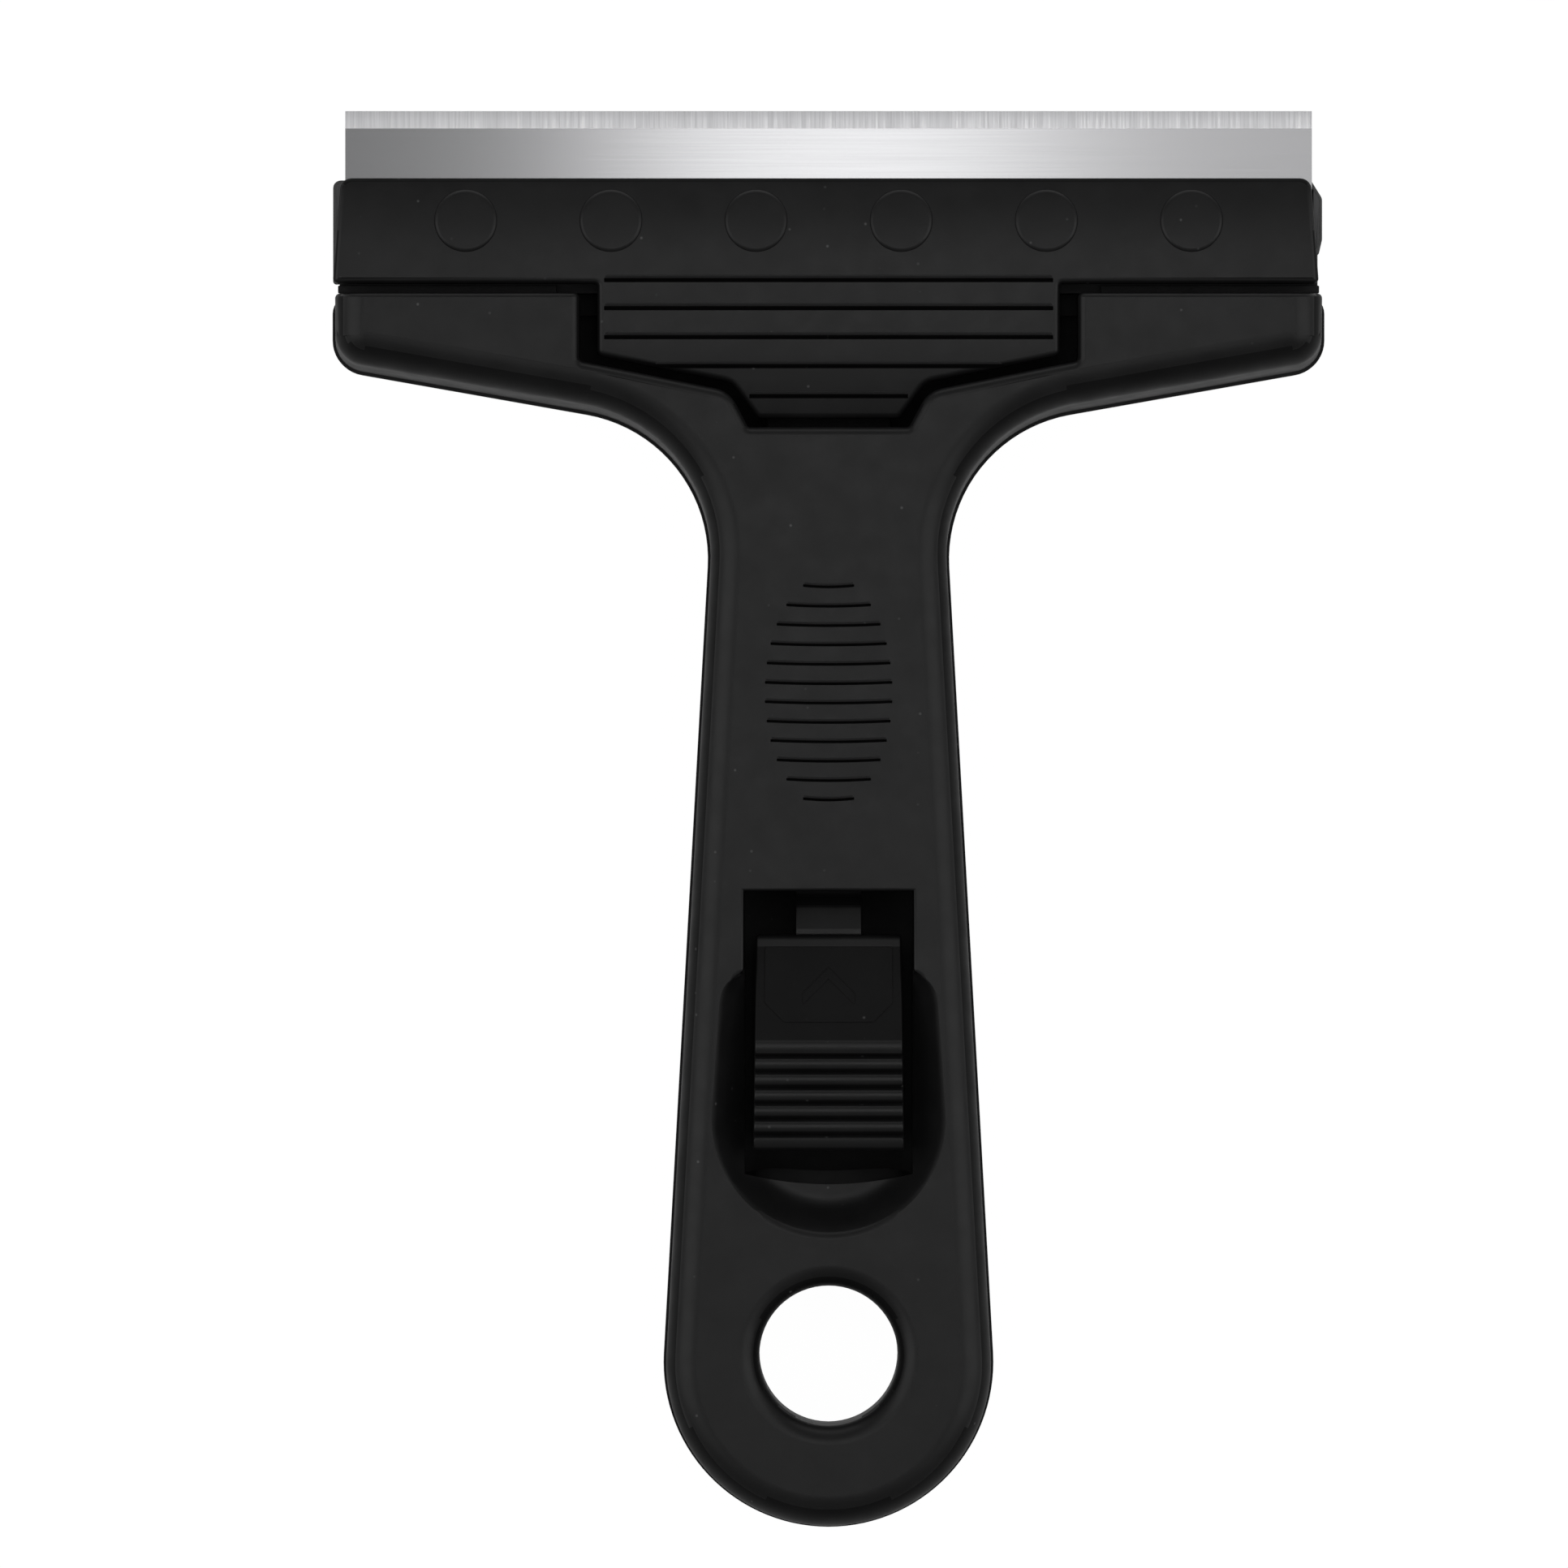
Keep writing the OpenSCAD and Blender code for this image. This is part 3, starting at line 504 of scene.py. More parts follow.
# %% [markdown]
# The front shell is one moulding with a wide soft edge, a stepped recess for the jaw, a window for the button
# and a round hole to hang it by. A Boolean could cut those openings, but it leaves ragged edges to soften.
# All of them lie on the middle line, so half of the face is drawn in one loop that runs round each of them.

# %% Front shell: outline of one half
REVEAL = 0.3
PAST = 8
RECESS = [(25.75, 47.41, 0.5), (10.3, 44.3, 3.0), (8.3, 40.55, 0.4), (0, 40.55, 0)]
WINDOW_TOP = -7.4
WINDOW_HALF = 8.7
SHOULDER_C = Vector((7.8, -19.1))
SHOULDER_R = 3.5
SCOOP_C = Vector((0, -30.9))
SCOOP_R = 12.1
WELL_LOW = -36.6
WELL_BOW = 1.1

front = bmesh.new()
pen = Pen(front, 0, END_Y - END_R + REVEAL, FRONT_Z)
draw_grip(pen, REVEAL)
draw_wing(pen, REVEAL, SHOULDER_Y + PAST)
outer_rim = set(front.edges)
pen.line(RECESS[0][0], SHOULDER_Y + PAST)
drawn = set(front.edges)
pen.corners(RECESS)
recess_rim = set(front.edges) - drawn
pen.line(0, WINDOW_TOP)
drawn = set(front.edges)
pen.line(WINDOW_HALF, WINDOW_TOP)
start = math.degrees(math.acos((WINDOW_HALF - SHOULDER_C.x) / SHOULDER_R))
between_centres = SHOULDER_C - SCOOP_C
tangent = math.degrees(math.atan2(between_centres.y, between_centres.x)
                       - math.acos((SCOOP_R - SHOULDER_R) / between_centres.length))
well_corner = math.degrees(math.atan2(WELL_LOW - SCOOP_C.y, WINDOW_HALF))
scoop_start = around(SHOULDER_C, SHOULDER_R, start)
pen.line(*scoop_start)
pen.arc(SHOULDER_C, tangent - start, 8)
pen.line(*around(SCOOP_C, SCOOP_R, tangent))
pen.arc(SCOOP_C, well_corner - tangent, 8)
pen.arc(SCOOP_C, -90 - well_corner, 14)
window_rim = set(front.edges) - drawn
pen.line(0, HOLE_Y + HOLE_R)
drawn = set(front.edges)
pen.arc((0, HOLE_Y), -180, 32)
hole_rim = set(front.edges) - drawn
pen.close()
print("The half face has", len(front.verts), "points in one loop.")

# %% [markdown]
# The rim of the face is now extruded down to the joint, and the outer edge gets its round with a wide bevel.
# The wing is drawn too long on purpose: a bevel that ends in the open stays even, and a cut then makes the
# flat shoulder. The walls under the wings lean in, as the walls of a moulding do so that it leaves its mould,
# and show as a light band. The flat underside is filled last, from all the edges that lie in the joint.

# %% Front shell: walls and soft edges
FRONT_ROUND = 3.2
HOLE_ROUND = 2.2
WING_DRAFT = 0.9
EDGE_BAND = REVEAL + FRONT_ROUND + 0.1


def fill_joint(bm):
    """Fills the half face in the plane of the joint, with two new edges along the middle line."""
    edges = [edge for edge in bm.edges if edge.is_boundary
             and all(abs(vert.co.z - JOINT_Z) < NEAR for vert in edge.verts)]
    middle = sorted({vert for edge in edges for vert in edge.verts if abs(vert.co.x) < NEAR},
                    key=lambda vert: vert.co.y)
    for low, high in zip(middle[::2], middle[1::2]):
        edges.append(bm.edges.new((low, high)))
    bmesh.ops.contextual_create(bm, geom=edges)


def lean(spot):
    """Which way and how much, up to 1, the wall leans in at a spot. It is 0 away from the wings' edges."""
    if spot.x > WING_START.x:
        inward = around((0, 0), 1, 90 + WING_SLOPE)
        on_edge = (spot - WING_START).dot(inward) < EDGE_BAND and spot.y < TIP.y + 10 * NEAR
        return inward * on_edge
    offset = spot - HOLLOW
    on_edge = offset.length - HOLLOW_R < EDGE_BAND
    past_start = math.degrees(math.atan2(offset.y, offset.x)) % 360 - 90 - WING_SLOPE
    return offset.normalized() * on_edge * max(0, 1 - past_start / (90 - WING_SLOPE))


for rim in (outer_rim, hole_rim, recess_rim):
    drop(front, rim, JOINT_Z)
soften(front, outer_rim, FRONT_ROUND, 10)
soften(front, hole_rim, HOLE_ROUND, 8)
for vert in front.verts:
    vert.co.xy += lean(vert.co.xy) * WING_DRAFT * (vert.co.z - JOINT_Z) / (FRONT_Z - JOINT_Z)
bmesh.ops.bisect_plane(front, geom=everything(front), dist=ON_PLANE, plane_co=(0, SHOULDER_Y, 0),
                       plane_no=(0, 1, 0), clear_outer=True)
shoulder = [edge for edge in front.edges if all(abs(v.co.y - SHOULDER_Y) < NEAR for v in edge.verts)]
feet = sorted({vert for edge in shoulder for vert in edge.verts}, key=lambda vert: vert.co.z)[:2]
shoulder.append(front.edges.new(feet))
bmesh.ops.contextual_create(front, geom=shoulder)
fill_joint(front)
print("The shoulder was closed with", len(shoulder), "edges.")

# %% [markdown]
# The thumb scoop is a dished hollow round the button that ends at the upright walls of the button's well.
# A hollow like that is a chain of edges, the rim, that is extruded again and again towards the well.
# Each ring lies lower on an S-shaped slope, which starts softly at the rim, is steepest in its upper part and
# ends in a flat floor. At the low end the well's wall has a low ledge.

# %% Front shell: thumb scoop and window
SCOOP_DEPTH = 4.0
SLOPE_WIDTH = 3.9
SLOPE_SKEW = 0.74
LEAST_REACH = 1.5
SCOOP_RINGS = 12
WELL_FLOOR = 8.0
LEDGE_TOP = 9.7
LEDGE_DEEP = 1.4
LEDGE_DROP = 0.6


def well_foot(rim):
    """The point of the well's outline that a rim point slopes down to."""
    if rim.y > scoop_start.y - NEAR:
        return rim.copy()
    if rim.y > SCOOP_C.y:
        return Vector((WINDOW_HALF, rim.y))
    ray = (rim - SCOOP_C).normalized()
    side = SCOOP_C + ray * (WINDOW_HALF / ray.x if ray.x > 0.01 else SCOOP_R)
    bow_r = (WINDOW_HALF ** 2 + WELL_BOW ** 2) / (2 * WELL_BOW)
    bow_c = Vector((0, WELL_LOW - WELL_BOW + bow_r))
    offset = SCOOP_C - bow_c
    along = offset.dot(ray)
    low = SCOOP_C + ray * (-along + math.sqrt(along ** 2 - offset.length_squared + bow_r ** 2))
    return side if side.y > WELL_LOW else low


def scoop_point(rim, share):
    """Where a rim point lies after a share of its way to the well."""
    foot = well_foot(rim.xy)
    reach = max((foot - rim.xy).length, LEAST_REACH)
    fall = min(1, share * reach / SLOPE_WIDTH) ** SLOPE_SKEW
    return Vector((*rim.xy.lerp(foot, share), FRONT_Z - SCOOP_DEPTH * fall ** 2 * (3 - 2 * fall)))


ring = list(window_rim)
rim_of = {vert: vert.co.copy() for edge in ring for vert in edge.verts}
for step in range(1, SCOOP_RINGS + 1):
    made = bmesh.ops.extrude_edge_only(front, edges=ring)["geom"]
    fresh = only(bmesh.types.BMVert, made)
    sources = {vert: next(edge.other_vert(vert) for edge in vert.link_edges
                          if edge.other_vert(vert) in rim_of) for vert in fresh}
    rim_of = {vert: rim_of[source] for vert, source in sources.items()}
    for vert, rim in rim_of.items():
        vert.co = scoop_point(rim, step / SCOOP_RINGS)
    ring = [edge for edge in only(bmesh.types.BMEdge, made) if set(edge.verts) <= set(fresh)]
ledge_edge = drop(front, drop(front, ring, LEDGE_TOP), LEDGE_TOP - LEDGE_DROP)
for vert in {vert for edge in ledge_edge for vert in edge.verts}:
    if vert.co.y < WELL_LOW:
        vert.co.y += LEDGE_DEEP * (1 - (vert.co.x / WINDOW_HALF) ** 4)
well_edge = drop(front, ledge_edge, WELL_FLOOR)
ends = [vert for vert in {vert for edge in well_edge for vert in edge.verts} if abs(vert.co.x) < NEAR]
bmesh.ops.contextual_create(front, geom=well_edge + [front.edges.new(ends)])
print("The scoop has", SCOOP_RINGS, "rings of", len(ring), "edges.")

# %% [markdown]
# The two halves are merged, and the small edges round the recess and the window are softened.
# Then the inside is hollowed out, as the real moulding is. The hollow isn't seen and has no soft edges,
# so here a Boolean is the short way: two plain blocks are drawn and taken out of the solid shell.

# %% Front shell: small edges and hollow
RECESS_ROUND = 0.9
HEAD_SOFT = 0.5
WINDOW_SOFT = 0.4
HEAD_FROM = 40
RECESS_REACH = 27
FRONT_WALL = 2.4
CEILING = 12.8
LOW_CEILING = 8.2
LOW_START = JOINT_Z - 0.5
NECK_START = JOINT_Z - 0.6
HOLE_WALL = 2.0
POCKET_TOP = 41.2
NECK_POCKET = [(8.0, -9.0, 0), (8.0, -5.0, 0), (9.4, -5.0, 0), (9.4, 30.0, 0), (7.5, 36.0, 0),
               (7.5, POCKET_TOP, 0), (0, POCKET_TOP, 0)]


def on_face(middle):
    return middle.z > FRONT_Z - 0.05


def on_recess(middle):
    return on_face(middle) and HEAD_FROM < middle.y < SHOULDER_Y - 0.01 and abs(middle.x) < RECESS_REACH


def on_head(middle):
    return middle.y > HEAD_FROM and middle.z > JOINT_Z + 0.05


def on_window(middle):
    return on_face(middle) and SCOOP_C.y - SCOOP_R < middle.y < WINDOW_TOP + 0.4 and abs(middle.x) < SCOOP_R


def stand_in(bm, name):
    """A short-lived object for a modifier to work on."""
    mesh = bpy.data.meshes.new(name)
    bm.to_mesh(mesh)
    bm.free()
    made = bpy.data.objects.new(name, mesh)
    bpy.context.scene.collection.objects.link(made)
    return made


def cut_away(bm, cutter):
    """Takes the space of a closed block out of a closed solid and returns what is left."""
    whole = stand_in(bm, "whole")
    tool = stand_in(cutter, "tool")
    cut = whole.modifiers.new("Cut", "BOOLEAN")
    cut.operation = "DIFFERENCE"
    cut.solver = "EXACT"
    cut.object = tool
    left = bpy.data.meshes.new_from_object(whole.evaluated_get(bpy.context.evaluated_depsgraph_get()))
    result = bmesh.new()
    result.from_mesh(left)
    for mesh in (whole.data, tool.data, left):
        bpy.data.meshes.remove(mesh)
    return result


both_sides(front)
soften(front, sharp_edges(front, on_recess), RECESS_ROUND, 6)
soften(front, sharp_edges(front, on_head), HEAD_SOFT, 4)
soften(front, sharp_edges(front, on_window), WINDOW_SOFT, 4)
low_pocket = bmesh.new()
pen = Pen(low_pocket, 0, END_Y - END_R + REVEAL + FRONT_WALL, LOW_START)
pen.arc((0, END_Y), 90 + TAPER, 30)
pen.corners([(*around(HOLLOW, HOLLOW_R + REVEAL + FRONT_WALL, 180 + TAPER), 0), *NECK_POCKET[-2:],
             (0, HOLE_Y + HOLE_R + HOLE_WALL, 0)])
pen.arc((0, HOLE_Y), -180, 24)
whole_block(low_pocket, [pen.close()], (0, 0, LOW_CEILING - LOW_START))
neck_pocket = bmesh.new()
pen = Pen(neck_pocket, 0, NECK_POCKET[0][1], NECK_START)
pen.corners(NECK_POCKET)
whole_block(neck_pocket, [pen.close()], (0, 0, CEILING - NECK_START))
front = cut_away(cut_away(front, low_pocket), neck_pocket)
print("The hollowed shell has", len(front.faces), "faces.")

# %% [markdown]
# The neck and the jaw's tongue carry thin ribs, and a fine groove below each rib shows as a dark line.
# A rib starts as a ball whose two halves are moved apart, which gives a bar with round ends. Its lower side
# is pressed nearly flat, so that the groove can run close to it. A three-sided bar with one edge down cuts
# the groove. Both can be bowed. A bow needs points along the bar, so its long edges are subdivided first.

# %% Helpers for ribs and grooves
FLAT_SIDE = 0.1


def bend(bm, half, bow):
    """Bows the middle of a bar along X towards -Y."""
    if bow:
        long_edges = [edge for edge in bm.edges if abs(edge.verts[0].co.x - edge.verts[1].co.x) > half]
        bmesh.ops.subdivide_edges(bm, edges=long_edges, cuts=7, use_grid_fill=True)
        for vert in bm.verts:
            vert.co.y -= bow * (1 - (vert.co.x / half) ** 2)


def bar(half, radius, bow=0.0):
    """A round bar along X with ball ends, pressed nearly flat on its side towards -Y."""
    bm = bmesh.new()
    across = Matrix.Rotation(math.pi / 2, 4, "Y")
    bmesh.ops.create_uvsphere(bm, u_segments=16, v_segments=9, radius=radius, matrix=across)
    for vert in bm.verts:
        vert.co.x += math.copysign(half - radius, vert.co.x)
        vert.co.y *= 1 if vert.co.y > 0 else FLAT_SIDE
    bend(bm, half, bow)
    return bm


def groove_cutter(half, half_width, depth, bow=0.0):
    """A three-sided bar along X with one edge down, which cuts a groove into a face at Z = 0."""
    bm = bmesh.new()
    pen = Pen(bm, 0, -depth)
    pen.line(2 * half_width, depth)
    pen.line(-2 * half_width, depth)
    end = pen.close()
    stand_up(bm)
    bmesh.ops.translate(bm, vec=(-half, 0, 0), verts=bm.verts)
    raise_face(bm, end, (2 * half, 0, 0))
    bend(bm, half, bow)
    return bm


print("Helpers for ribs and grooves are ready.")

# %% [markdown]
# Twelve low ribs make an oval patch for the thumb, each sunk in the face with a slight bow.
# The grooves come first, cut by one Boolean, because they cross a face that is already there.
# Inside the neck two posts take the middle pair of screws. Ribs and posts stay shells of their own.
# Light leaves the rounds that look towards the grip's end darkest, and the duller finish starts sooner there.

# %% Front shell: thumb ribs and posts
RIB_ROWS = 12
RIB_PITCH = 2.0
RIB_R = 0.3
RIB_PROUD = 0.1
RIB_BOW = 0.15
RIB_GROOVE_WIDE = 0.14
RIB_GROOVE_DEEP = 0.45
RIB_MIDDLE = 13.35
PATCH_LONG = 12.0
PATCH_WIDE = 6.6
POST_R = 2.3
DULL_LOW = 0.6
SCREWS = [(38.0, 50.0), (7.1, 16.8), (11.14, -44.16)]


def in_scoop(middle):
    """Whether a face lies in the box round the scoop's slope and floor."""
    low = SCOOP_C.y - SCOOP_R - 0.2
    high = SHOULDER_C.y + SHOULDER_R + 0.1
    return abs(middle.x) < SCOOP_R + 0.2 and low < middle.y < high and middle.z > FRONT_Z - SCOOP_DEPTH - 0.01


def dulled(facing):
    """Steep faces, and rounds that look towards the grip's end a little sooner than the others."""
    return abs(facing.z) < STEEP - DULL_LOW * facing.y * abs(facing.y)


rises = [(row - (RIB_ROWS - 1) / 2) * RIB_PITCH for row in range(RIB_ROWS)]
halves = [PATCH_WIDE * math.sqrt(1 - (rise / PATCH_LONG) ** 2) for rise in rises]
grooves = bmesh.new()
for rise, half in zip(rises, halves):
    groove = groove_cutter(half, RIB_GROOVE_WIDE, RIB_GROOVE_DEEP, RIB_BOW)
    groove_y = RIB_MIDDLE + rise - RIB_R * FLAT_SIDE - RIB_GROOVE_WIDE
    bmesh.ops.translate(groove, vec=(0, groove_y, FRONT_Z), verts=groove.verts)
    take_in(grooves, groove)
front = cut_away(front, grooves)
for rise, half in zip(rises, halves):
    rib = bar(half, RIB_R, RIB_BOW)
    bmesh.ops.translate(rib, vec=(0, RIB_MIDDLE + rise, FRONT_Z + RIB_PROUD - RIB_R), verts=rib.verts)
    take_in(front, rib)
for side_x in (-1, 1):
    post = bmesh.new()
    place = Matrix.Translation((side_x * SCREWS[1][0], SCREWS[1][1], (JOINT_Z + CEILING) / 2 + 0.2))
    bmesh.ops.create_cone(post, cap_ends=True, segments=32, radius1=POST_R, radius2=POST_R + 0.1,
                          depth=CEILING - JOINT_Z + 0.2, matrix=place)
    take_in(front, post)
# Low flat faces in the well take the paler inside plastic, which is painted light in their shade.
finish_by_facing(front, lambda middle, facing: dulled(facing) and not in_scoop(middle),
                 lambda middle, facing: middle.z < WELL_FLOOR + 0.1 and not steep(middle, facing))
piece(front, "front_cover", "handle", "front_shell", "shell_plastic",
      shell_plastic, side_plastic, inside_painted_light_plastic)

# %% [markdown]
# The rear shell is a shallow tray with the same plan, a smaller edge and six sunk seats for the screws.
# Holes that lie off the middle line can't be part of one loop, so the flat face is taken out again after the
# bevel and filled anew between its border and the circles of the seats.

# %% Rear shell: tray
REAR_ROUND = 2.0
REAR_HOLE_ROUND = 1.0
REAR_WALL = 2.0
SIDE_WALL = 2.2
SEAT_R = 2.7
SEAT_Z = 1.8
SEAT_RIM = 0.2
BOSS_R = 2.9
LIP_Y = 66.3
RELIEF_Y = 53.3
RELIEF_LIP = 6.7


def circles(bm, spots, radius, level):
    """Circles of edges round some spots, each as a list of edges."""
    found = []
    for x, y in spots:
        place = Matrix.Translation((x, y, level))
        made = bmesh.ops.create_circle(bm, segments=32, radius=radius, matrix=place)
        found.append(list({edge for vert in made["verts"] for edge in vert.link_edges}))
    return found


def fill_round(bm, border, holes):
    """Fills the space between a border and the circles in it and returns the faces."""
    filled = bmesh.ops.triangle_fill(bm, use_beauty=True, edges=border + sum(holes, []), normal=(0, 0, -1))
    return only(bmesh.types.BMFace, filled["geom"])


rear = bmesh.new()
pen = Pen(rear, 0, END_Y - END_R)
draw_grip(pen, 0)
draw_wing(pen, 0, SHOULDER_Y - REAR_ROUND)
pen.arc((HEAD_HALF - REAR_ROUND, SHOULDER_Y - REAR_ROUND), 90, 8)
soft_rim = set(rear.edges)
pen.line(0, SHOULDER_Y)
outer_rim = set(rear.edges)
pen.line(0, HOLE_Y + HOLE_R)
drawn = set(rear.edges)
pen.arc((0, HOLE_Y), -180, 32)
hole_rim = set(rear.edges) - drawn
pen.close()
drop(rear, outer_rim, JOINT_Z)
drop(rear, hole_rim, JOINT_Z)
fill_joint(rear)
soften(rear, soft_rim, REAR_ROUND - 0.1, 8)
soften(rear, hole_rim, REAR_HOLE_ROUND, 5)
flat = next(face for face in rear.faces if all(abs(vert.co.z) < NEAR for vert in face.verts))
border = flat.edges[:]
bmesh.ops.delete(rear, geom=[flat], context="FACES_ONLY")
seats = circles(rear, SCREWS, SEAT_R + SEAT_RIM, 0)
fill_round(rear, border, seats)
for (x, y), seat in zip(SCREWS, seats):
    seat_edge = drop(rear, seat, SEAT_RIM)
    shrink = SEAT_R / (SEAT_R + SEAT_RIM)
    bmesh.ops.scale(rear, vec=(shrink, shrink, 1), space=Matrix.Translation((-x, -y, 0)),
                    verts=list({vert for edge in seat_edge for vert in edge.verts}))
    bmesh.ops.contextual_create(rear, geom=drop(rear, seat_edge, SEAT_Z))
both_sides(rear)
bmesh.ops.bisect_plane(rear, geom=everything(rear), dist=ON_PLANE, plane_co=(0, RELIEF_Y, 0),
                       plane_no=(0, RELIEF_LIP, RELIEF_Y - LIP_Y), clear_outer=True)
bmesh.ops.contextual_create(rear, geom=[edge for edge in rear.edges if edge.is_boundary])
faces_out(rear)
print("The solid tray has", len(rear.faces), "faces and", 2 * len(SCREWS), "screw seats.")

# %% [markdown]
# The inside of the tray follows the same plan with a wall left round it. Bosses stay round the inner screws.
# It is drawn as a block with holes for the bosses and taken out by a Boolean, as in the front shell.

# %% Rear shell: hollow
TRAY_HALF = 30
TRAY_LOW = WING_START.y + 3.6
TRAY_HIGH = SHOULDER_Y - SIDE_WALL

tray_space = bmesh.new()
pen = Pen(tray_space, 0, END_Y - END_R + SIDE_WALL, REAR_WALL)
draw_grip(pen, SIDE_WALL)
pen.corners([(TRAY_HALF, TRAY_LOW, 0), (TRAY_HALF, TRAY_HIGH, 0), (0, TRAY_HIGH, 0),
             (0, HOLE_Y + HOLE_R + HOLE_WALL, 0)])
pen.arc((0, HOLE_Y), -180, 24)
floor_faces = fill_round(tray_space, pen.join(), circles(tray_space, SCREWS[1:], BOSS_R, REAR_WALL))
whole_block(tray_space, floor_faces, (0, 0, JOINT_Z - REAR_WALL + 0.5))
rear = cut_away(rear, tray_space)
print("The hollowed tray has", len(rear.faces), "faces.")

# %% [markdown]
# In front of the shoulders the rear shell carries the fixed jaw, a wedge that the blade lies on.
# It is drawn from the side and extruded across, and its back is sunk a little into the tray, so that no two
# faces lie in one plane. Low stops behind the blade and an ear at each end keep the blade in place.
# An ear is an outline that is raised, with its top inset and raised again, so that its flanks slope.
# Its crest is painted pale: a painted highlight of its top edge, which catches the light.

# %% Rear shell: fixed jaw, stops and ears
SEAT_TOP = 9.5
STOP_TOP = 9.95
JAW_REST_HALF = 50.6
JAW_BACK = SHOULDER_Y + 0.05
SUNK = 0.3
WEDGE_CORNER = 2.0
WEDGE_SOFT = 0.3
STOP_FROM = 28.15
STOP_TO = 50.75
STOP_DEEP = 0.8
RIGHT_EAR = [(50.7, 58.4, 0.3), (51.07, 60.0, 1.0), (51.07, 64.3, 0.9), (49.8, 66.35, 0)]
LEFT_EAR = [(51.07, 55.4, 0.3), (51.07, 66.15, 0.8), (49.8, 66.15, 0)]
EAR_LOW = 7.0
EAR_SHOULDER = 9.0
EAR_LEFT = 0.2
CREST_INSET = 0.36

wedge = bmesh.new()
relief = RELIEF_LIP / (LIP_Y - RELIEF_Y)
foot_z = relief * (JAW_BACK - RELIEF_Y)
pen = Pen(wedge, JAW_BACK - SUNK, foot_z)
for y, z in ((JAW_BACK, foot_z), (LIP_Y, RELIEF_LIP), (LIP_Y, SEAT_TOP), (JAW_BACK, SEAT_TOP),
             (JAW_BACK, JOINT_Z - SUNK), (JAW_BACK - SUNK, JOINT_Z - SUNK)):
    pen.line(y, z)
side = pen.close()
stand_up(wedge)
bmesh.ops.translate(wedge, vec=(-JAW_REST_HALF, 0, 0), verts=wedge.verts)
raise_face(wedge, side, (2 * JAW_REST_HALF, 0, 0))
faces_out(wedge)
soften(wedge, sharp_edges(wedge, lambda m: abs(m.x) > 50 and m.y > LIP_Y - 0.1), WEDGE_CORNER, 8)
soften(wedge, sharp_edges(wedge, lambda m: m.y > JAW_BACK + 0.1), WEDGE_SOFT, 3)
take_in(rear, wedge)
for side_x in (-1, 1):
    stop = block((STOP_FROM, JAW_BACK, SEAT_TOP - 0.5), (STOP_TO, JAW_BACK + STOP_DEEP, STOP_TOP), 0.1)
    bmesh.ops.scale(stop, vec=(side_x, 1, 1), verts=stop.verts)
    take_in(rear, stop)

for outline, side_x, moved in ((RIGHT_EAR, 1, 0), (LEFT_EAR, -1, -EAR_LEFT)):
    ear = bmesh.new()
    pen = Pen(ear, outline[-1][0], outline[0][1], EAR_LOW)
    pen.corners(outline)
    crest = raise_face(ear, pen.close(), (0, 0, EAR_SHOULDER - EAR_LOW))
    bmesh.ops.inset_region(ear, faces=[crest], thickness=CREST_INSET, use_even_offset=True)
    bmesh.ops.translate(ear, vec=(0, 0, STOP_TOP - EAR_SHOULDER), verts=crest.verts)
    # The crest takes the fourth material, the pale grey painted on as its highlight.
    crest.material_index = 3
    bmesh.ops.scale(ear, vec=(side_x, 1, 1), verts=ear.verts)
    bmesh.ops.translate(ear, vec=(moved, 0, 0), verts=ear.verts)
    take_in(rear, ear)
# Faces of the tray that look up take the paler inside plastic, which is painted light in their shade.
finish_by_facing(rear, third=lambda middle, facing: facing.z > STEEP)
piece(rear, "rear_cover", "handle", "rear_shell", "shell_plastic",
      shell_plastic, side_plastic, inside_painted_light_plastic, painted_highlight_plastic)

# %% [markdown]
# The clamp jaw is the wide plate that presses the blade down, with a stepped tongue that dips into the neck.
# Its face falls in a shallow curve towards the lip and in another towards the end of the tongue.
# It is drawn flat, extruded and cut into strips, and its upper points are then let down onto the curves.

# %% Clamp jaw: plate and tongue
JAW_UNDER = 10.0
JAW_TOP = 13.8
LIP_TOP = 12.4
JAW_LOW = 55.4
LIP_CURVE = 57.0
TONGUE_CURVE = 51.5
TONGUE_END = 41.5
TONGUE_DIP = 1.4
JAW_SOFT = 0.6
JAW_HALF = [(7.3, TONGUE_END, 0.7), (10.0, 45.2, 2.0), (23.9, 48.0, 0.7), (23.9, JAW_LOW, 0.3),
            (50.95, JAW_LOW, 0.5), (50.15, LIP_Y, 1.2), (0, LIP_Y, 0)]
STRIPS = 21
STRIP_FIRST = 43.3
STRIP_PITCH = 1.1
ENDS_FROM = 40
ENDS_LEFT = 0.3


def jaw_face(y):
    """Height of the jaw's face at a place along Y."""
    to_lip = max(0, y - LIP_CURVE) / (LIP_Y - LIP_CURVE)
    to_end = max(0, TONGUE_CURVE - y) / (TONGUE_CURVE - TONGUE_END)
    return JAW_TOP - (JAW_TOP - LIP_TOP) * to_lip ** 2 - TONGUE_DIP * to_end ** 2


jaw = bmesh.new()
pen = Pen(jaw, 0, TONGUE_END, JAW_UNDER)
pen.corners(JAW_HALF)
whole_block(jaw, [pen.close()], (0, 0, JAW_TOP - JAW_UNDER))
soften(jaw, sharp_edges(jaw, lambda m: m.z > JAW_UNDER + 1), JAW_SOFT, 5)
for strip in range(STRIPS):
    cut_across(jaw, STRIP_FIRST + STRIP_PITCH * strip)
for vert in jaw.verts:
    height = (vert.co.z - JAW_UNDER) / (JAW_TOP - JAW_UNDER)
    vert.co.z = JAW_UNDER + height * (jaw_face(vert.co.y) - JAW_UNDER)
    if abs(vert.co.x) > ENDS_FROM:
        vert.co.x -= ENDS_LEFT
print("The jaw plate has", len(jaw.faces), "faces.")

# %% [markdown]
# Five thin ribs cross the tongue for grip, each with its groove, and a row of low round pads stands on the
# plate. A rib is sunk in the face, as on the neck. A pad is a flat cone with a round rim, cut into strips so
# that it can follow the curve of the face. Both stay shells of their own inside the same mesh.

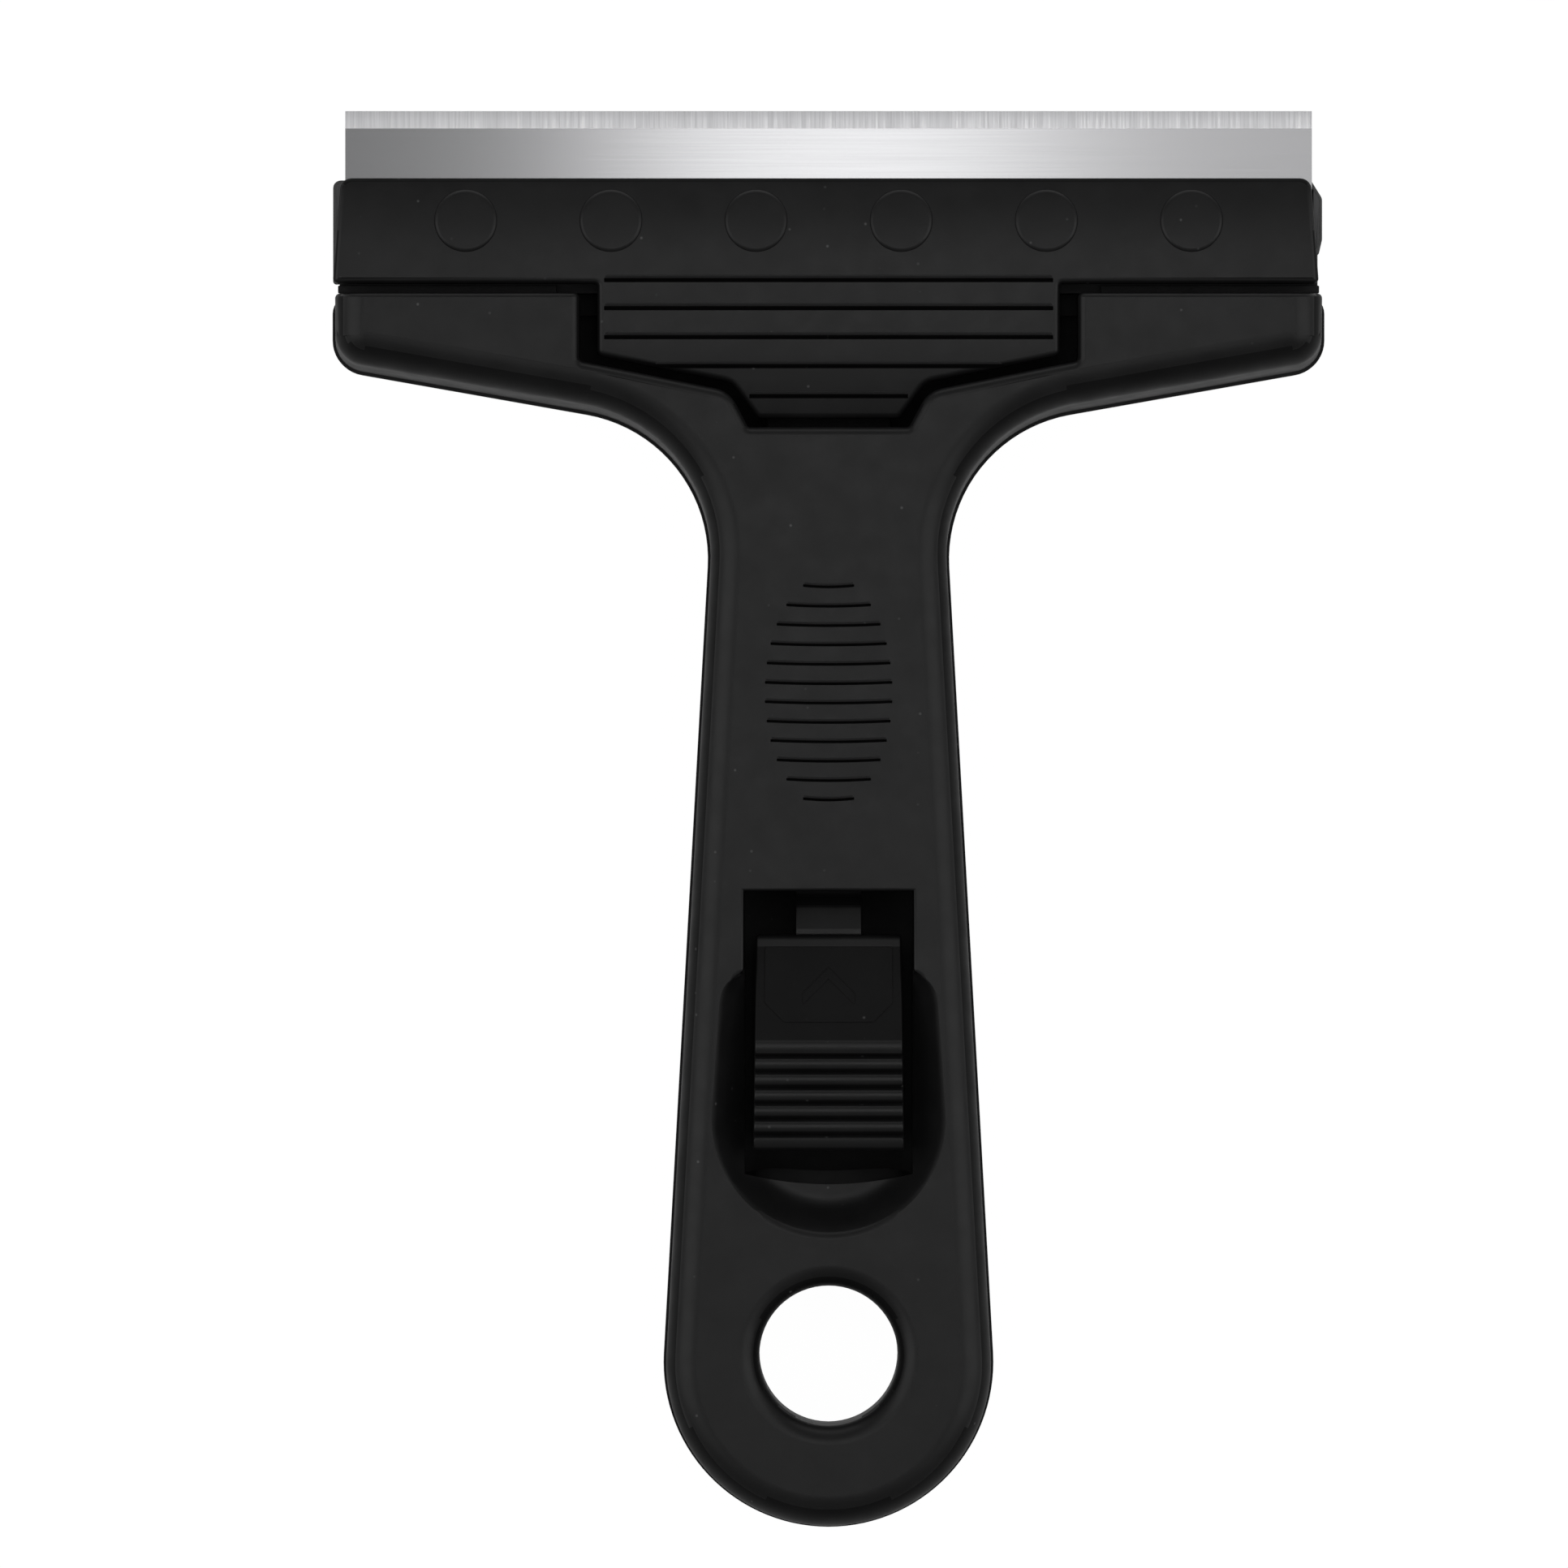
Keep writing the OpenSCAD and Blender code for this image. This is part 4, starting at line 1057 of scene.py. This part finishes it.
# %% Clamp jaw: ribs and pads
TONGUE_RIBS = [(56.0, 23.2), (53.1, 23.2), (50.1, 23.2), (47.1, 18.0), (44.0, 8.2)]
TONGUE_RIB_R = 0.4
TONGUE_RIB_PROUD = 0.14
TONGUE_GROOVE_WIDE = 0.22
TONGUE_GROOVE_DEEP = 0.6
PADS = 6
PAD_Y = 61.9
PAD_R = 3.25
PAD_PITCH = 15
PAD_SLOPE = 0.2
PAD_THICK = 0.46
PAD_SOFT = 0.22
PAD_STRIP = 0.55

grooves = bmesh.new()
for y, half in TONGUE_RIBS:
    groove = groove_cutter(half, TONGUE_GROOVE_WIDE, TONGUE_GROOVE_DEEP)
    groove_y = y - TONGUE_RIB_R * FLAT_SIDE - TONGUE_GROOVE_WIDE
    bmesh.ops.translate(groove, vec=(0, groove_y, jaw_face(groove_y)), verts=groove.verts)
    take_in(grooves, groove)
jaw = cut_away(jaw, grooves)
for y, half in TONGUE_RIBS:
    rib = bar(half, TONGUE_RIB_R)
    bmesh.ops.translate(rib, vec=(0, y, jaw_face(y) + TONGUE_RIB_PROUD - TONGUE_RIB_R), verts=rib.verts)
    take_in(jaw, rib)
for index in range(PADS):
    pad = bmesh.new()
    bmesh.ops.create_cone(pad, cap_ends=True, segments=56, radius1=PAD_R + PAD_SLOPE,
                          radius2=PAD_R - PAD_SLOPE, depth=PAD_THICK)
    soften(pad, sharp_edges(pad, lambda m: m.z > PAD_THICK / 2 - 0.03, 10), PAD_SOFT, 4)
    for strip in range(-5, 6):
        cut_across(pad, PAD_STRIP * strip)
    bmesh.ops.translate(pad, vec=((index - (PADS - 1) / 2) * PAD_PITCH, PAD_Y, 0), verts=pad.verts)
    for vert in pad.verts:
        vert.co.z += jaw_face(vert.co.y)
    take_in(jaw, pad)
print("Added", len(TONGUE_RIBS), "ribs and", PADS, "pads.")

# %% [markdown]
# Under the neck the jaw ends in a root with two knuckles that turn on the pivot pin. None of this shows, but
# the lever has to be whole. The root lies low, so that the gap at the tongue's end is deep and dark.
# A knuckle is a tube, spun from a small rectangle round the pin. A full spin merges its last ring with its
# first, so the tube has no seam.

# %% Clamp jaw: root and knuckles
PIVOT_Y = 28.3
PIVOT_Z = 7.4
EYE_R = 2.7
EYE_REACH = 1.9
BORE_R = 1.55
ROOT_TOP = 8.0
UNDERSIDE = 11.3
LIP_FRONT = 0.6


def eye(low_x, high_x):
    """A tube round the pivot between two places along X."""
    bm = bmesh.new()
    pen = Pen(bm, low_x, BORE_R)
    for x, y in ((high_x, BORE_R), (high_x, EYE_R), (low_x, EYE_R)):
        pen.line(x, y)
    pen.join()
    bmesh.ops.spin(bm, geom=everything(bm), cent=(0, 0, 0), axis=(1, 0, 0), angle=2 * math.pi, steps=32,
                   use_merge=True)
    bmesh.ops.translate(bm, vec=(0, PIVOT_Y, PIVOT_Z), verts=bm.verts)
    return bm


def side_of_jaw(middle, facing):
    """Walls below the face, the front of the lip and all that lies beyond the tongue's end."""
    wall = steep(middle, facing) and middle.z < jaw_face(middle.y)
    lip = middle.y > LIP_Y - LIP_FRONT and facing.y > 0.4
    return wall or lip or middle.y < TONGUE_END


# The jaw's low faces take the paler inside plastic, which is painted light in their shade.
def under_jaw(middle, facing):
    return middle.z < UNDERSIDE and middle.y > TONGUE_END


take_in(jaw, block((-6.5, 31.6, 4.7), (6.5, 45.4, ROOT_TOP), 0.3))
take_in(jaw, block((-6.45, 41.75, ROOT_TOP - 1), (6.45, 45.3, 12.2), 0.3))
for low_x, high_x in ((3.5, 6.5), (-6.5, -3.5)):
    take_in(jaw, eye(low_x, high_x))
    take_in(jaw, block((low_x + 0.05, PIVOT_Y + EYE_REACH, 4.9), (high_x - 0.05, 32.2, 9.9), 0.2))
finish_by_facing(jaw, side_of_jaw, under_jaw)
piece(jaw, "clamp_plate", "clamp_lever", "clamp_jaw", "jaw_plastic",
      jaw_plastic, side_plastic, inside_painted_light_plastic)

# %% [markdown]
# The lever arm is a plain bar inside the neck. Only its end shows, as a dark tongue with a low lip above the
# button. It is drawn from the side and extruded across, with an eye for the pin.

# %% Lever arm
ARM_HALF = 3.4
ARM_LOW = 6.4
ARM_TOP = 9.6
ARM_SIDE = [(PIVOT_Y - EYE_REACH, ARM_LOW, 0), (PIVOT_Y - EYE_REACH, ARM_TOP, 0), (-4.5, ARM_TOP, 0),
            (-7.6, 8.4, 0.8), (-8.9, 10.1, 0.8), (-11.3, 10.75, 0.2), (-11.8, 10.8, 0),
            (-11.8, ARM_TOP, 0), (-21.7, ARM_TOP, 0)]

arm = bmesh.new()
pen = Pen(arm, ARM_SIDE[-1][0], ARM_LOW)
pen.corners(ARM_SIDE, steps=4)
side = pen.close()
stand_up(arm)
bmesh.ops.translate(arm, vec=(-ARM_HALF, 0, 0), verts=arm.verts)
raise_face(arm, side, (2 * ARM_HALF, 0, 0))
faces_out(arm)
soften(arm, sharp_edges(arm, lambda m: abs(m.x) > ARM_HALF - 0.1), 0.2, 2)
take_in(arm, block((-ARM_HALF, PIVOT_Y + EYE_REACH, ARM_LOW), (ARM_HALF, 38.3, ARM_TOP), 0.2))
take_in(arm, eye(-ARM_HALF, ARM_HALF))
finish_by_facing(arm)
piece(arm, "rocker_arm", "clamp_lever", "lever_arm", "jaw_plastic", jaw_plastic, side_plastic)

# %% [markdown]
# The thumb button has six V-shaped grooves with rounded ridges between them, and a sloping panel above.
# All of that is in its side view, so the side view is drawn once and extruded across.
# The underside is cut out to make room for the spring and the arm.

# %% Thumb button: body
BUTTON_LOW = -34.2
BUTTON_HEAD = -11.9
BUTTON_UNDER = 6.45
BUTTON_CEILING = 12.6
BUTTON_HALF = 7.8
HEAD_HALF_WIDTH = 7.5
BUTTON_ROUND = 1.2
HEAD_Z = 12.3
PANEL_FOOT = -22.78
HEAD_STRIP = -13.1
GROOVES = 6
GROOVE_FIRST = -32.5
GROOVE_PITCH = 1.62
GROOVE_HALF = 0.28
GROOVE_DEPTH = 0.7
CROWN = 0.18


def crowned(pen, to_y, to_z):
    """An arc from the pen's tip to a point, bulging upwards by the crown of a ridge."""
    chord = Vector((to_y, to_z)) - pen.tip.co.xy
    radius = (chord.length_squared / 4 + CROWN ** 2) / (2 * CROWN)
    middle = pen.tip.co.xy + chord / 2 + Vector((chord.y, -chord.x)).normalized() * (radius - CROWN)
    pen.arc(middle, -2 * math.degrees(math.asin(chord.length / 2 / radius)), 5)


button = bmesh.new()
pen = Pen(button, BUTTON_LOW, BUTTON_UNDER)
ridge_z = FRONT_Z - CROWN
pen.line(BUTTON_LOW, FRONT_Z - BUTTON_ROUND)
pen.arc((BUTTON_LOW + BUTTON_ROUND, FRONT_Z - BUTTON_ROUND), -90, 6)
for index in range(GROOVES):
    groove_y = GROOVE_FIRST + index * GROOVE_PITCH
    if index:
        crowned(pen, groove_y - GROOVE_HALF, ridge_z)
    else:
        pen.line(groove_y - GROOVE_HALF, ridge_z)
    pen.line(groove_y, FRONT_Z - GROOVE_DEPTH)
    pen.line(groove_y + GROOVE_HALF, ridge_z)
crowned(pen, PANEL_FOOT, ridge_z)
slope_fall = (ridge_z - HEAD_Z) / (BUTTON_HEAD - PANEL_FOOT)
pen.line(HEAD_STRIP, ridge_z - slope_fall * (HEAD_STRIP - PANEL_FOOT))
pen.corners([(BUTTON_HEAD, HEAD_Z, 0.7), (BUTTON_HEAD, BUTTON_UNDER, 0)])
side = pen.close()
stand_up(button)
bmesh.ops.translate(button, vec=(-BUTTON_HALF, 0, 0), verts=button.verts)
raise_face(button, side, (2 * BUTTON_HALF, 0, 0))
for vert in button.verts:
    share = (vert.co.y - BUTTON_LOW) / (BUTTON_HEAD - BUTTON_LOW)
    vert.co.x *= 1 - share * (1 - HEAD_HALF_WIDTH / BUTTON_HALF)
faces_out(button)
soften(button, sharp_edges(button, lambda m: abs(m.x) > 7.3 and m.z > BUTTON_UNDER + 0.1), 0.22, 3)
button = cut_away(button, block((-6.2, -32.6, BUTTON_UNDER - 1), (6.2, -23.2, BUTTON_CEILING)))
button = cut_away(button, block((-3.5, -24, BUTTON_UNDER - 0.9), (3.5, -11, 9.7)))
print("The button's body has", len(button.faces), "faces.")

# %% [markdown]
# A low raised panel with two cut corners fills the upper half of the button. A plain arrow head stands on it
# and points to the blade. Both are drawn flat, extruded a little, and tilted to lie on the button's sloping
# face. The panel's duller finish ends short of the button's head, which leaves a shinier strip there.

# %% Thumb button: panel and arrow head
PANEL = [(6.6, -13.1, 0.3), (6.6, -18.9, 0.3), (4.6, -20.9, 0.3), (0, -20.9, 0)]
PANEL_SUNK = 0.25
ARROW = [(2.7, -17.9, 0.1), (2.7, -19.1, 0.1), (0, -16.4, 0)]
ARROW_TIP = -15.2
ARROW_SUNK = 0.13
PLATE_THICK = 0.4


def on_slope(bm, sunk):
    """Lets a flat plate down onto the sloping face of the button, sunk a little into it."""
    for vert in bm.verts:
        vert.co.z += ridge_z - slope_fall * (vert.co.y - PANEL_FOOT) - sunk


def plate(first, path, thickness):
    """A mirrored plate with a soft upper edge, drawn as one half that starts on the middle line."""
    bm = bmesh.new()
    pen = Pen(bm, *first)
    pen.corners(path, steps=3)
    whole_block(bm, [pen.close()], (0, 0, thickness))
    soften(bm, sharp_edges(bm, lambda m: m.z > thickness - 0.01), 0.07, 2)
    return bm


panel = plate((0, PANEL[0][1]), PANEL, PLATE_THICK)
on_slope(panel, PANEL_SUNK)
take_in(button, panel)
arrow = plate((0, ARROW_TIP), ARROW, PLATE_THICK)
on_slope(arrow, ARROW_SUNK)
take_in(button, arrow)
finish_by_facing(button, lambda middle, facing: steep(middle, facing) and facing.y < 0.5,
                 lambda middle, facing: PANEL_FOOT < middle.y < HEAD_STRIP and facing.z > STEEP)
piece(button, "thumb_button", "clamp_lever", "press_button", "button_plastic",
      button_plastic, side_plastic, panel_plastic)

# %% [markdown]
# The pivot pin is a ground steel rod with chamfered ends, and the return spring is a coil of drawn wire.
# The coil is a small circle spun six times round with a step up at each turn of the operator.
# The spring flattens as the lever is pressed.

# %% Pivot pin and return spring
PIN_R = 1.5
PIN_HALF = 9.5
SPRING_Y = -27.7
WIRE_R = 0.4
COIL_R = 3.1
COIL_LOW = 2.55
COIL_HIGH = 12.05
COIL_TURNS = 6
COIL_STEPS = COIL_TURNS * 28

pin = bmesh.new()
lying = Matrix.Translation((0, PIVOT_Y, PIVOT_Z)) @ Matrix.Rotation(math.pi / 2, 4, "Y")
bmesh.ops.create_cone(pin, cap_ends=True, segments=40, radius1=PIN_R, radius2=PIN_R, depth=2 * PIN_HALF,
                      matrix=lying)
soften(pin, sharp_edges(pin, lambda m: abs(m.x) > PIN_HALF - 0.01), 0.3, 2)
faces_out(pin)
piece(pin, "hinge_pin", "handle", "pivot_pin", "pin_steel", pin_steel)

coil = bmesh.new()
wire = Matrix.Translation((COIL_R, SPRING_Y, COIL_LOW)) @ Matrix.Rotation(math.pi / 2, 4, "X")
bmesh.ops.create_circle(coil, segments=14, radius=WIRE_R, matrix=wire)
bmesh.ops.spin(coil, geom=everything(coil), cent=(0, SPRING_Y, 0), axis=(0, 0, 1), steps=COIL_STEPS,
               angle=2 * math.pi * COIL_TURNS, dvec=(0, 0, (COIL_HIGH - COIL_LOW) / COIL_STEPS))
bmesh.ops.holes_fill(coil, edges=[edge for edge in coil.edges if edge.is_boundary], sides=20)
faces_out(coil)
coil_spring = piece(coil, "coil_spring", "handle", "return_spring", "spring_steel", spring_steel)
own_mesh(coil_spring)

# %% [markdown]
# Six small pan-head screws join the shells from behind. A screw has a domed head with a crossed recess.
# The recess is drawn as one cross-shaped loop inside the circle of the head, and the flat between them is
# filled. One screw is made and copied to the six places.

# %% Screws
HEAD_R = 2.5
HEAD_LOW = 0.2
SHANK_R = 1.15
SHANK_TOP = 12.0
CROSS_REACH = 1.4
CROSS_HALF = 0.35
CROSS_DEEP = 0.9
TURNED_BY = 0.7
SCREW_PROFILE = [(HEAD_R - 0.22, 0.3), (HEAD_R - 0.05, 0.52), (HEAD_R, 0.8), (HEAD_R, SEAT_Z),
                 (SHANK_R, SEAT_Z), (SHANK_R, SHANK_TOP - 1.2), (0.4, SHANK_TOP)]

screw = bmesh.new()
pen = Pen(screw, CROSS_REACH, -CROSS_HALF, HEAD_LOW)
for turn in range(4):
    across = Matrix.Rotation(math.pi / 2 * turn, 2)
    for point in ((CROSS_REACH, CROSS_HALF), (CROSS_HALF, CROSS_HALF)):
        pen.line(*(across @ Vector(point)))
    if turn < 3:
        pen.line(*(Matrix.Rotation(math.pi / 2 * (turn + 1), 2) @ Vector((CROSS_REACH, -CROSS_HALF))))
screw.edges.new((pen.tip, pen.first))
cross = screw.edges[:]
head = bmesh.ops.create_circle(screw, segments=40, radius=HEAD_R - 0.5,
                               matrix=Matrix.Translation((0, 0, HEAD_LOW)))
head_rim = list({edge for vert in head["verts"] for edge in vert.link_edges})
fill_round(screw, cross, [head_rim])
bmesh.ops.contextual_create(screw, geom=drop(screw, cross, HEAD_LOW + CROSS_DEEP))
edge_loop = head_rim
for radius, level in SCREW_PROFILE:
    edge_loop = drop(screw, edge_loop, level)
    for vert in {vert for edge in edge_loop for vert in edge.verts}:
        vert.co.xy = vert.co.xy.normalized() * radius
bmesh.ops.contextual_create(screw, geom=edge_loop)
faces_out(screw)
screws = bmesh.new()
for number, (x, y) in enumerate([(sign * x, y) for x, y in SCREWS for sign in (1, -1)]):
    copy = screw.copy()
    bmesh.ops.rotate(copy, verts=copy.verts, matrix=Matrix.Rotation(TURNED_BY * number, 3, "Z"))
    bmesh.ops.translate(copy, vec=(x, y, 0), verts=copy.verts)
    take_in(screws, copy)
screw.free()
piece(screws, "cover_screws", "handle", "shell_screws", "screw_steel", screw_steel)

# %% [markdown]
# The blade is a strip of steel ground from both faces to an edge. Its side view has five corners.
# The two ground faces carry their own finish, picked by the way they face.

# %% Blade
BLADE_HALF = 50.0
BLADE_BACK = 55.6
BLADE_EDGE = 73.3
BLADE_LOW = 9.55
BLADE_TOP = 9.95
GRIND = 1.8

blade = bmesh.new()
pen = Pen(blade, BLADE_BACK, BLADE_LOW)
for y, z in ((BLADE_EDGE - GRIND, BLADE_LOW), (BLADE_EDGE, (BLADE_LOW + BLADE_TOP) / 2),
             (BLADE_EDGE - GRIND, BLADE_TOP), (BLADE_BACK, BLADE_TOP)):
    pen.line(y, z)
side = pen.close()
stand_up(blade)
bmesh.ops.translate(blade, vec=(-BLADE_HALF, 0, 0), verts=blade.verts)
raise_face(blade, side, (2 * BLADE_HALF, 0, 0))
faces_out(blade)
for face in blade.faces:
    if face.normal.y > 0.05:
        face.material_index = 1
piece(blade, "blade_strip", "blade", "scraper_blade", "blade_steel", blade_steel, ground_steel)

# %% [markdown]
# The photograph looks straight down on the scraper with the blade at the top, from far away.
# A long lens at a good distance gives that flat view. The frame is 162 mm wide at a height of 12 mm, between
# the blade and the front face.

# %% Camera
FRAME_WIDTH = 0.16208
LENS = 600.0
SENSOR = 36.0
VIEW_X = -0.00461
VIEW_Y = 0.00369
VIEW_Z = 0.012

camera_data = bpy.data.cameras.new("camera")
camera_data.lens = LENS
camera_data.sensor_width = SENSOR
camera_data.clip_start = 0.05
camera = bpy.data.objects.new("camera", camera_data)
distance = FRAME_WIDTH * LENS / SENSOR
camera.location = (VIEW_X, VIEW_Y, VIEW_Z + distance)
bpy.context.scene.collection.objects.link(camera)
bpy.context.scene.camera = camera
print("The camera hangs", round(VIEW_Z + distance, 3), "m above the table.")

# %% [markdown]
# The scraper lies under soft studio light. Three boxes hang overhead: a narrow one and one to its right give
# the blade its bright middle, and a wide one lights the flat faces and leaves the round edges darker. A box
# stands at each side, and a dim low one beyond the blade catches the edges that look there.

# %% Soft boxes
WHITE_POWER = 4


def soft_box(name, place, aim, size_x, size_y, brightness):
    """A soft box with a brightness seen face on, where 1 is the white of paper."""
    light = bpy.data.lights.new(name, "AREA")
    light.shape = "RECTANGLE"
    light.size = size_x
    light.size_y = size_y
    light.energy = WHITE_POWER * brightness * size_x * size_y
    lamp = bpy.data.objects.new(name, light)
    lamp.location = place
    lamp.rotation_euler = (Vector(aim) - Vector(place)).to_track_quat("-Z", "Y").to_euler()
    lamp.visible_camera = False
    bpy.context.scene.collection.objects.link(lamp)


soft_box("overhead", (0.0014, 0.07, 0.65), (0.0014, 0.07, 0), 0.051, 0.28, 1.5)
soft_box("overhead_right", (0.049, 0.07, 0.65), (0.049, 0.07, 0), 0.139, 0.28, 0.41)
soft_box("overhead_wide", (0, 0.07, 0.66), (0, 0.07, 0), 0.5, 0.48, 0.12)
soft_box("left_side", (-0.75, 0.05, 0.75), (0, 0, 0), 0.9, 1.0, 0.62)
soft_box("right_side", (0.75, 0.05, 0.75), (0, 0, 0), 0.9, 1.0, 0.62)
soft_box("beyond_blade", (0, 1.0, 0.24), (0, 0, 0), 1.0, 0.38, 0.5)
print("Six soft boxes stand and hang round the scraper.")

# %% [markdown]
# The table is a large white sheet. In this light it would come out grey, and more light would burn out the
# blade. So it shows mostly plain white to the camera and partly in mirrored rays, and the rest of its tone is
# real, which keeps the shadow. A dim grey room fills in from all sides.

# %% White table and grey room
FLOOR_Z = -0.0002
ROOM_GREY = 0.14

sheet = bmesh.new()
bmesh.ops.create_grid(sheet, x_segments=1, y_segments=1, size=3)
floor_mesh = bpy.data.meshes.new("floor")
sheet.to_mesh(floor_mesh)
sheet.free()
floor = bpy.data.objects.new("floor", floor_mesh)
floor.location.z = FLOOR_Z
bpy.context.scene.collection.objects.link(floor)


def white_share(tree, kinds):
    """The largest share of plain white that a ray has, for kinds of ray with a share each."""
    rays = tree.nodes.new("ShaderNodeLightPath")
    total = None
    for kind, most in kinds.items():
        share = between(tree, rays.outputs[kind], 0, 1, 0, most)
        if total:
            joined = tree.nodes.new("ShaderNodeMath")
            joined.operation = "MAXIMUM"
            tree.links.new(total, joined.inputs[0])
            tree.links.new(share, joined.inputs[1])
            share = joined.outputs["Value"]
        total = share
    return total


white = bpy.data.materials.new("white_table")
white.use_nodes = True
tree = white.node_tree
paper = tree.nodes["Principled BSDF"]
paper.inputs["Base Color"].default_value = (0.95, 0.95, 0.95, 1)
paper.inputs["Roughness"].default_value = 0.9
glow = tree.nodes.new("ShaderNodeEmission")
glow.inputs["Strength"].default_value = 1.06
mixed = tree.nodes.new("ShaderNodeMixShader")
share = white_share(tree, {"Is Camera Ray": 0.93, "Is Glossy Ray": 0.6, "Is Transmission Ray": 0.6})
tree.links.new(share, mixed.inputs["Fac"])
tree.links.new(paper.outputs["BSDF"], mixed.inputs[1])
tree.links.new(glow.outputs["Emission"], mixed.inputs[2])
tree.links.new(mixed.outputs["Shader"], tree.nodes["Material Output"].inputs["Surface"])
floor_mesh.materials.append(white)

world = bpy.data.worlds.new("studio")
bpy.context.scene.world = world
world.use_nodes = True
world.node_tree.nodes["Background"].inputs["Color"].default_value = (ROOM_GREY, ROOM_GREY, ROOM_GREY, 1)
bpy.context.scene.view_settings.view_transform = "Standard"
print("A white table and a grey room are in place.")
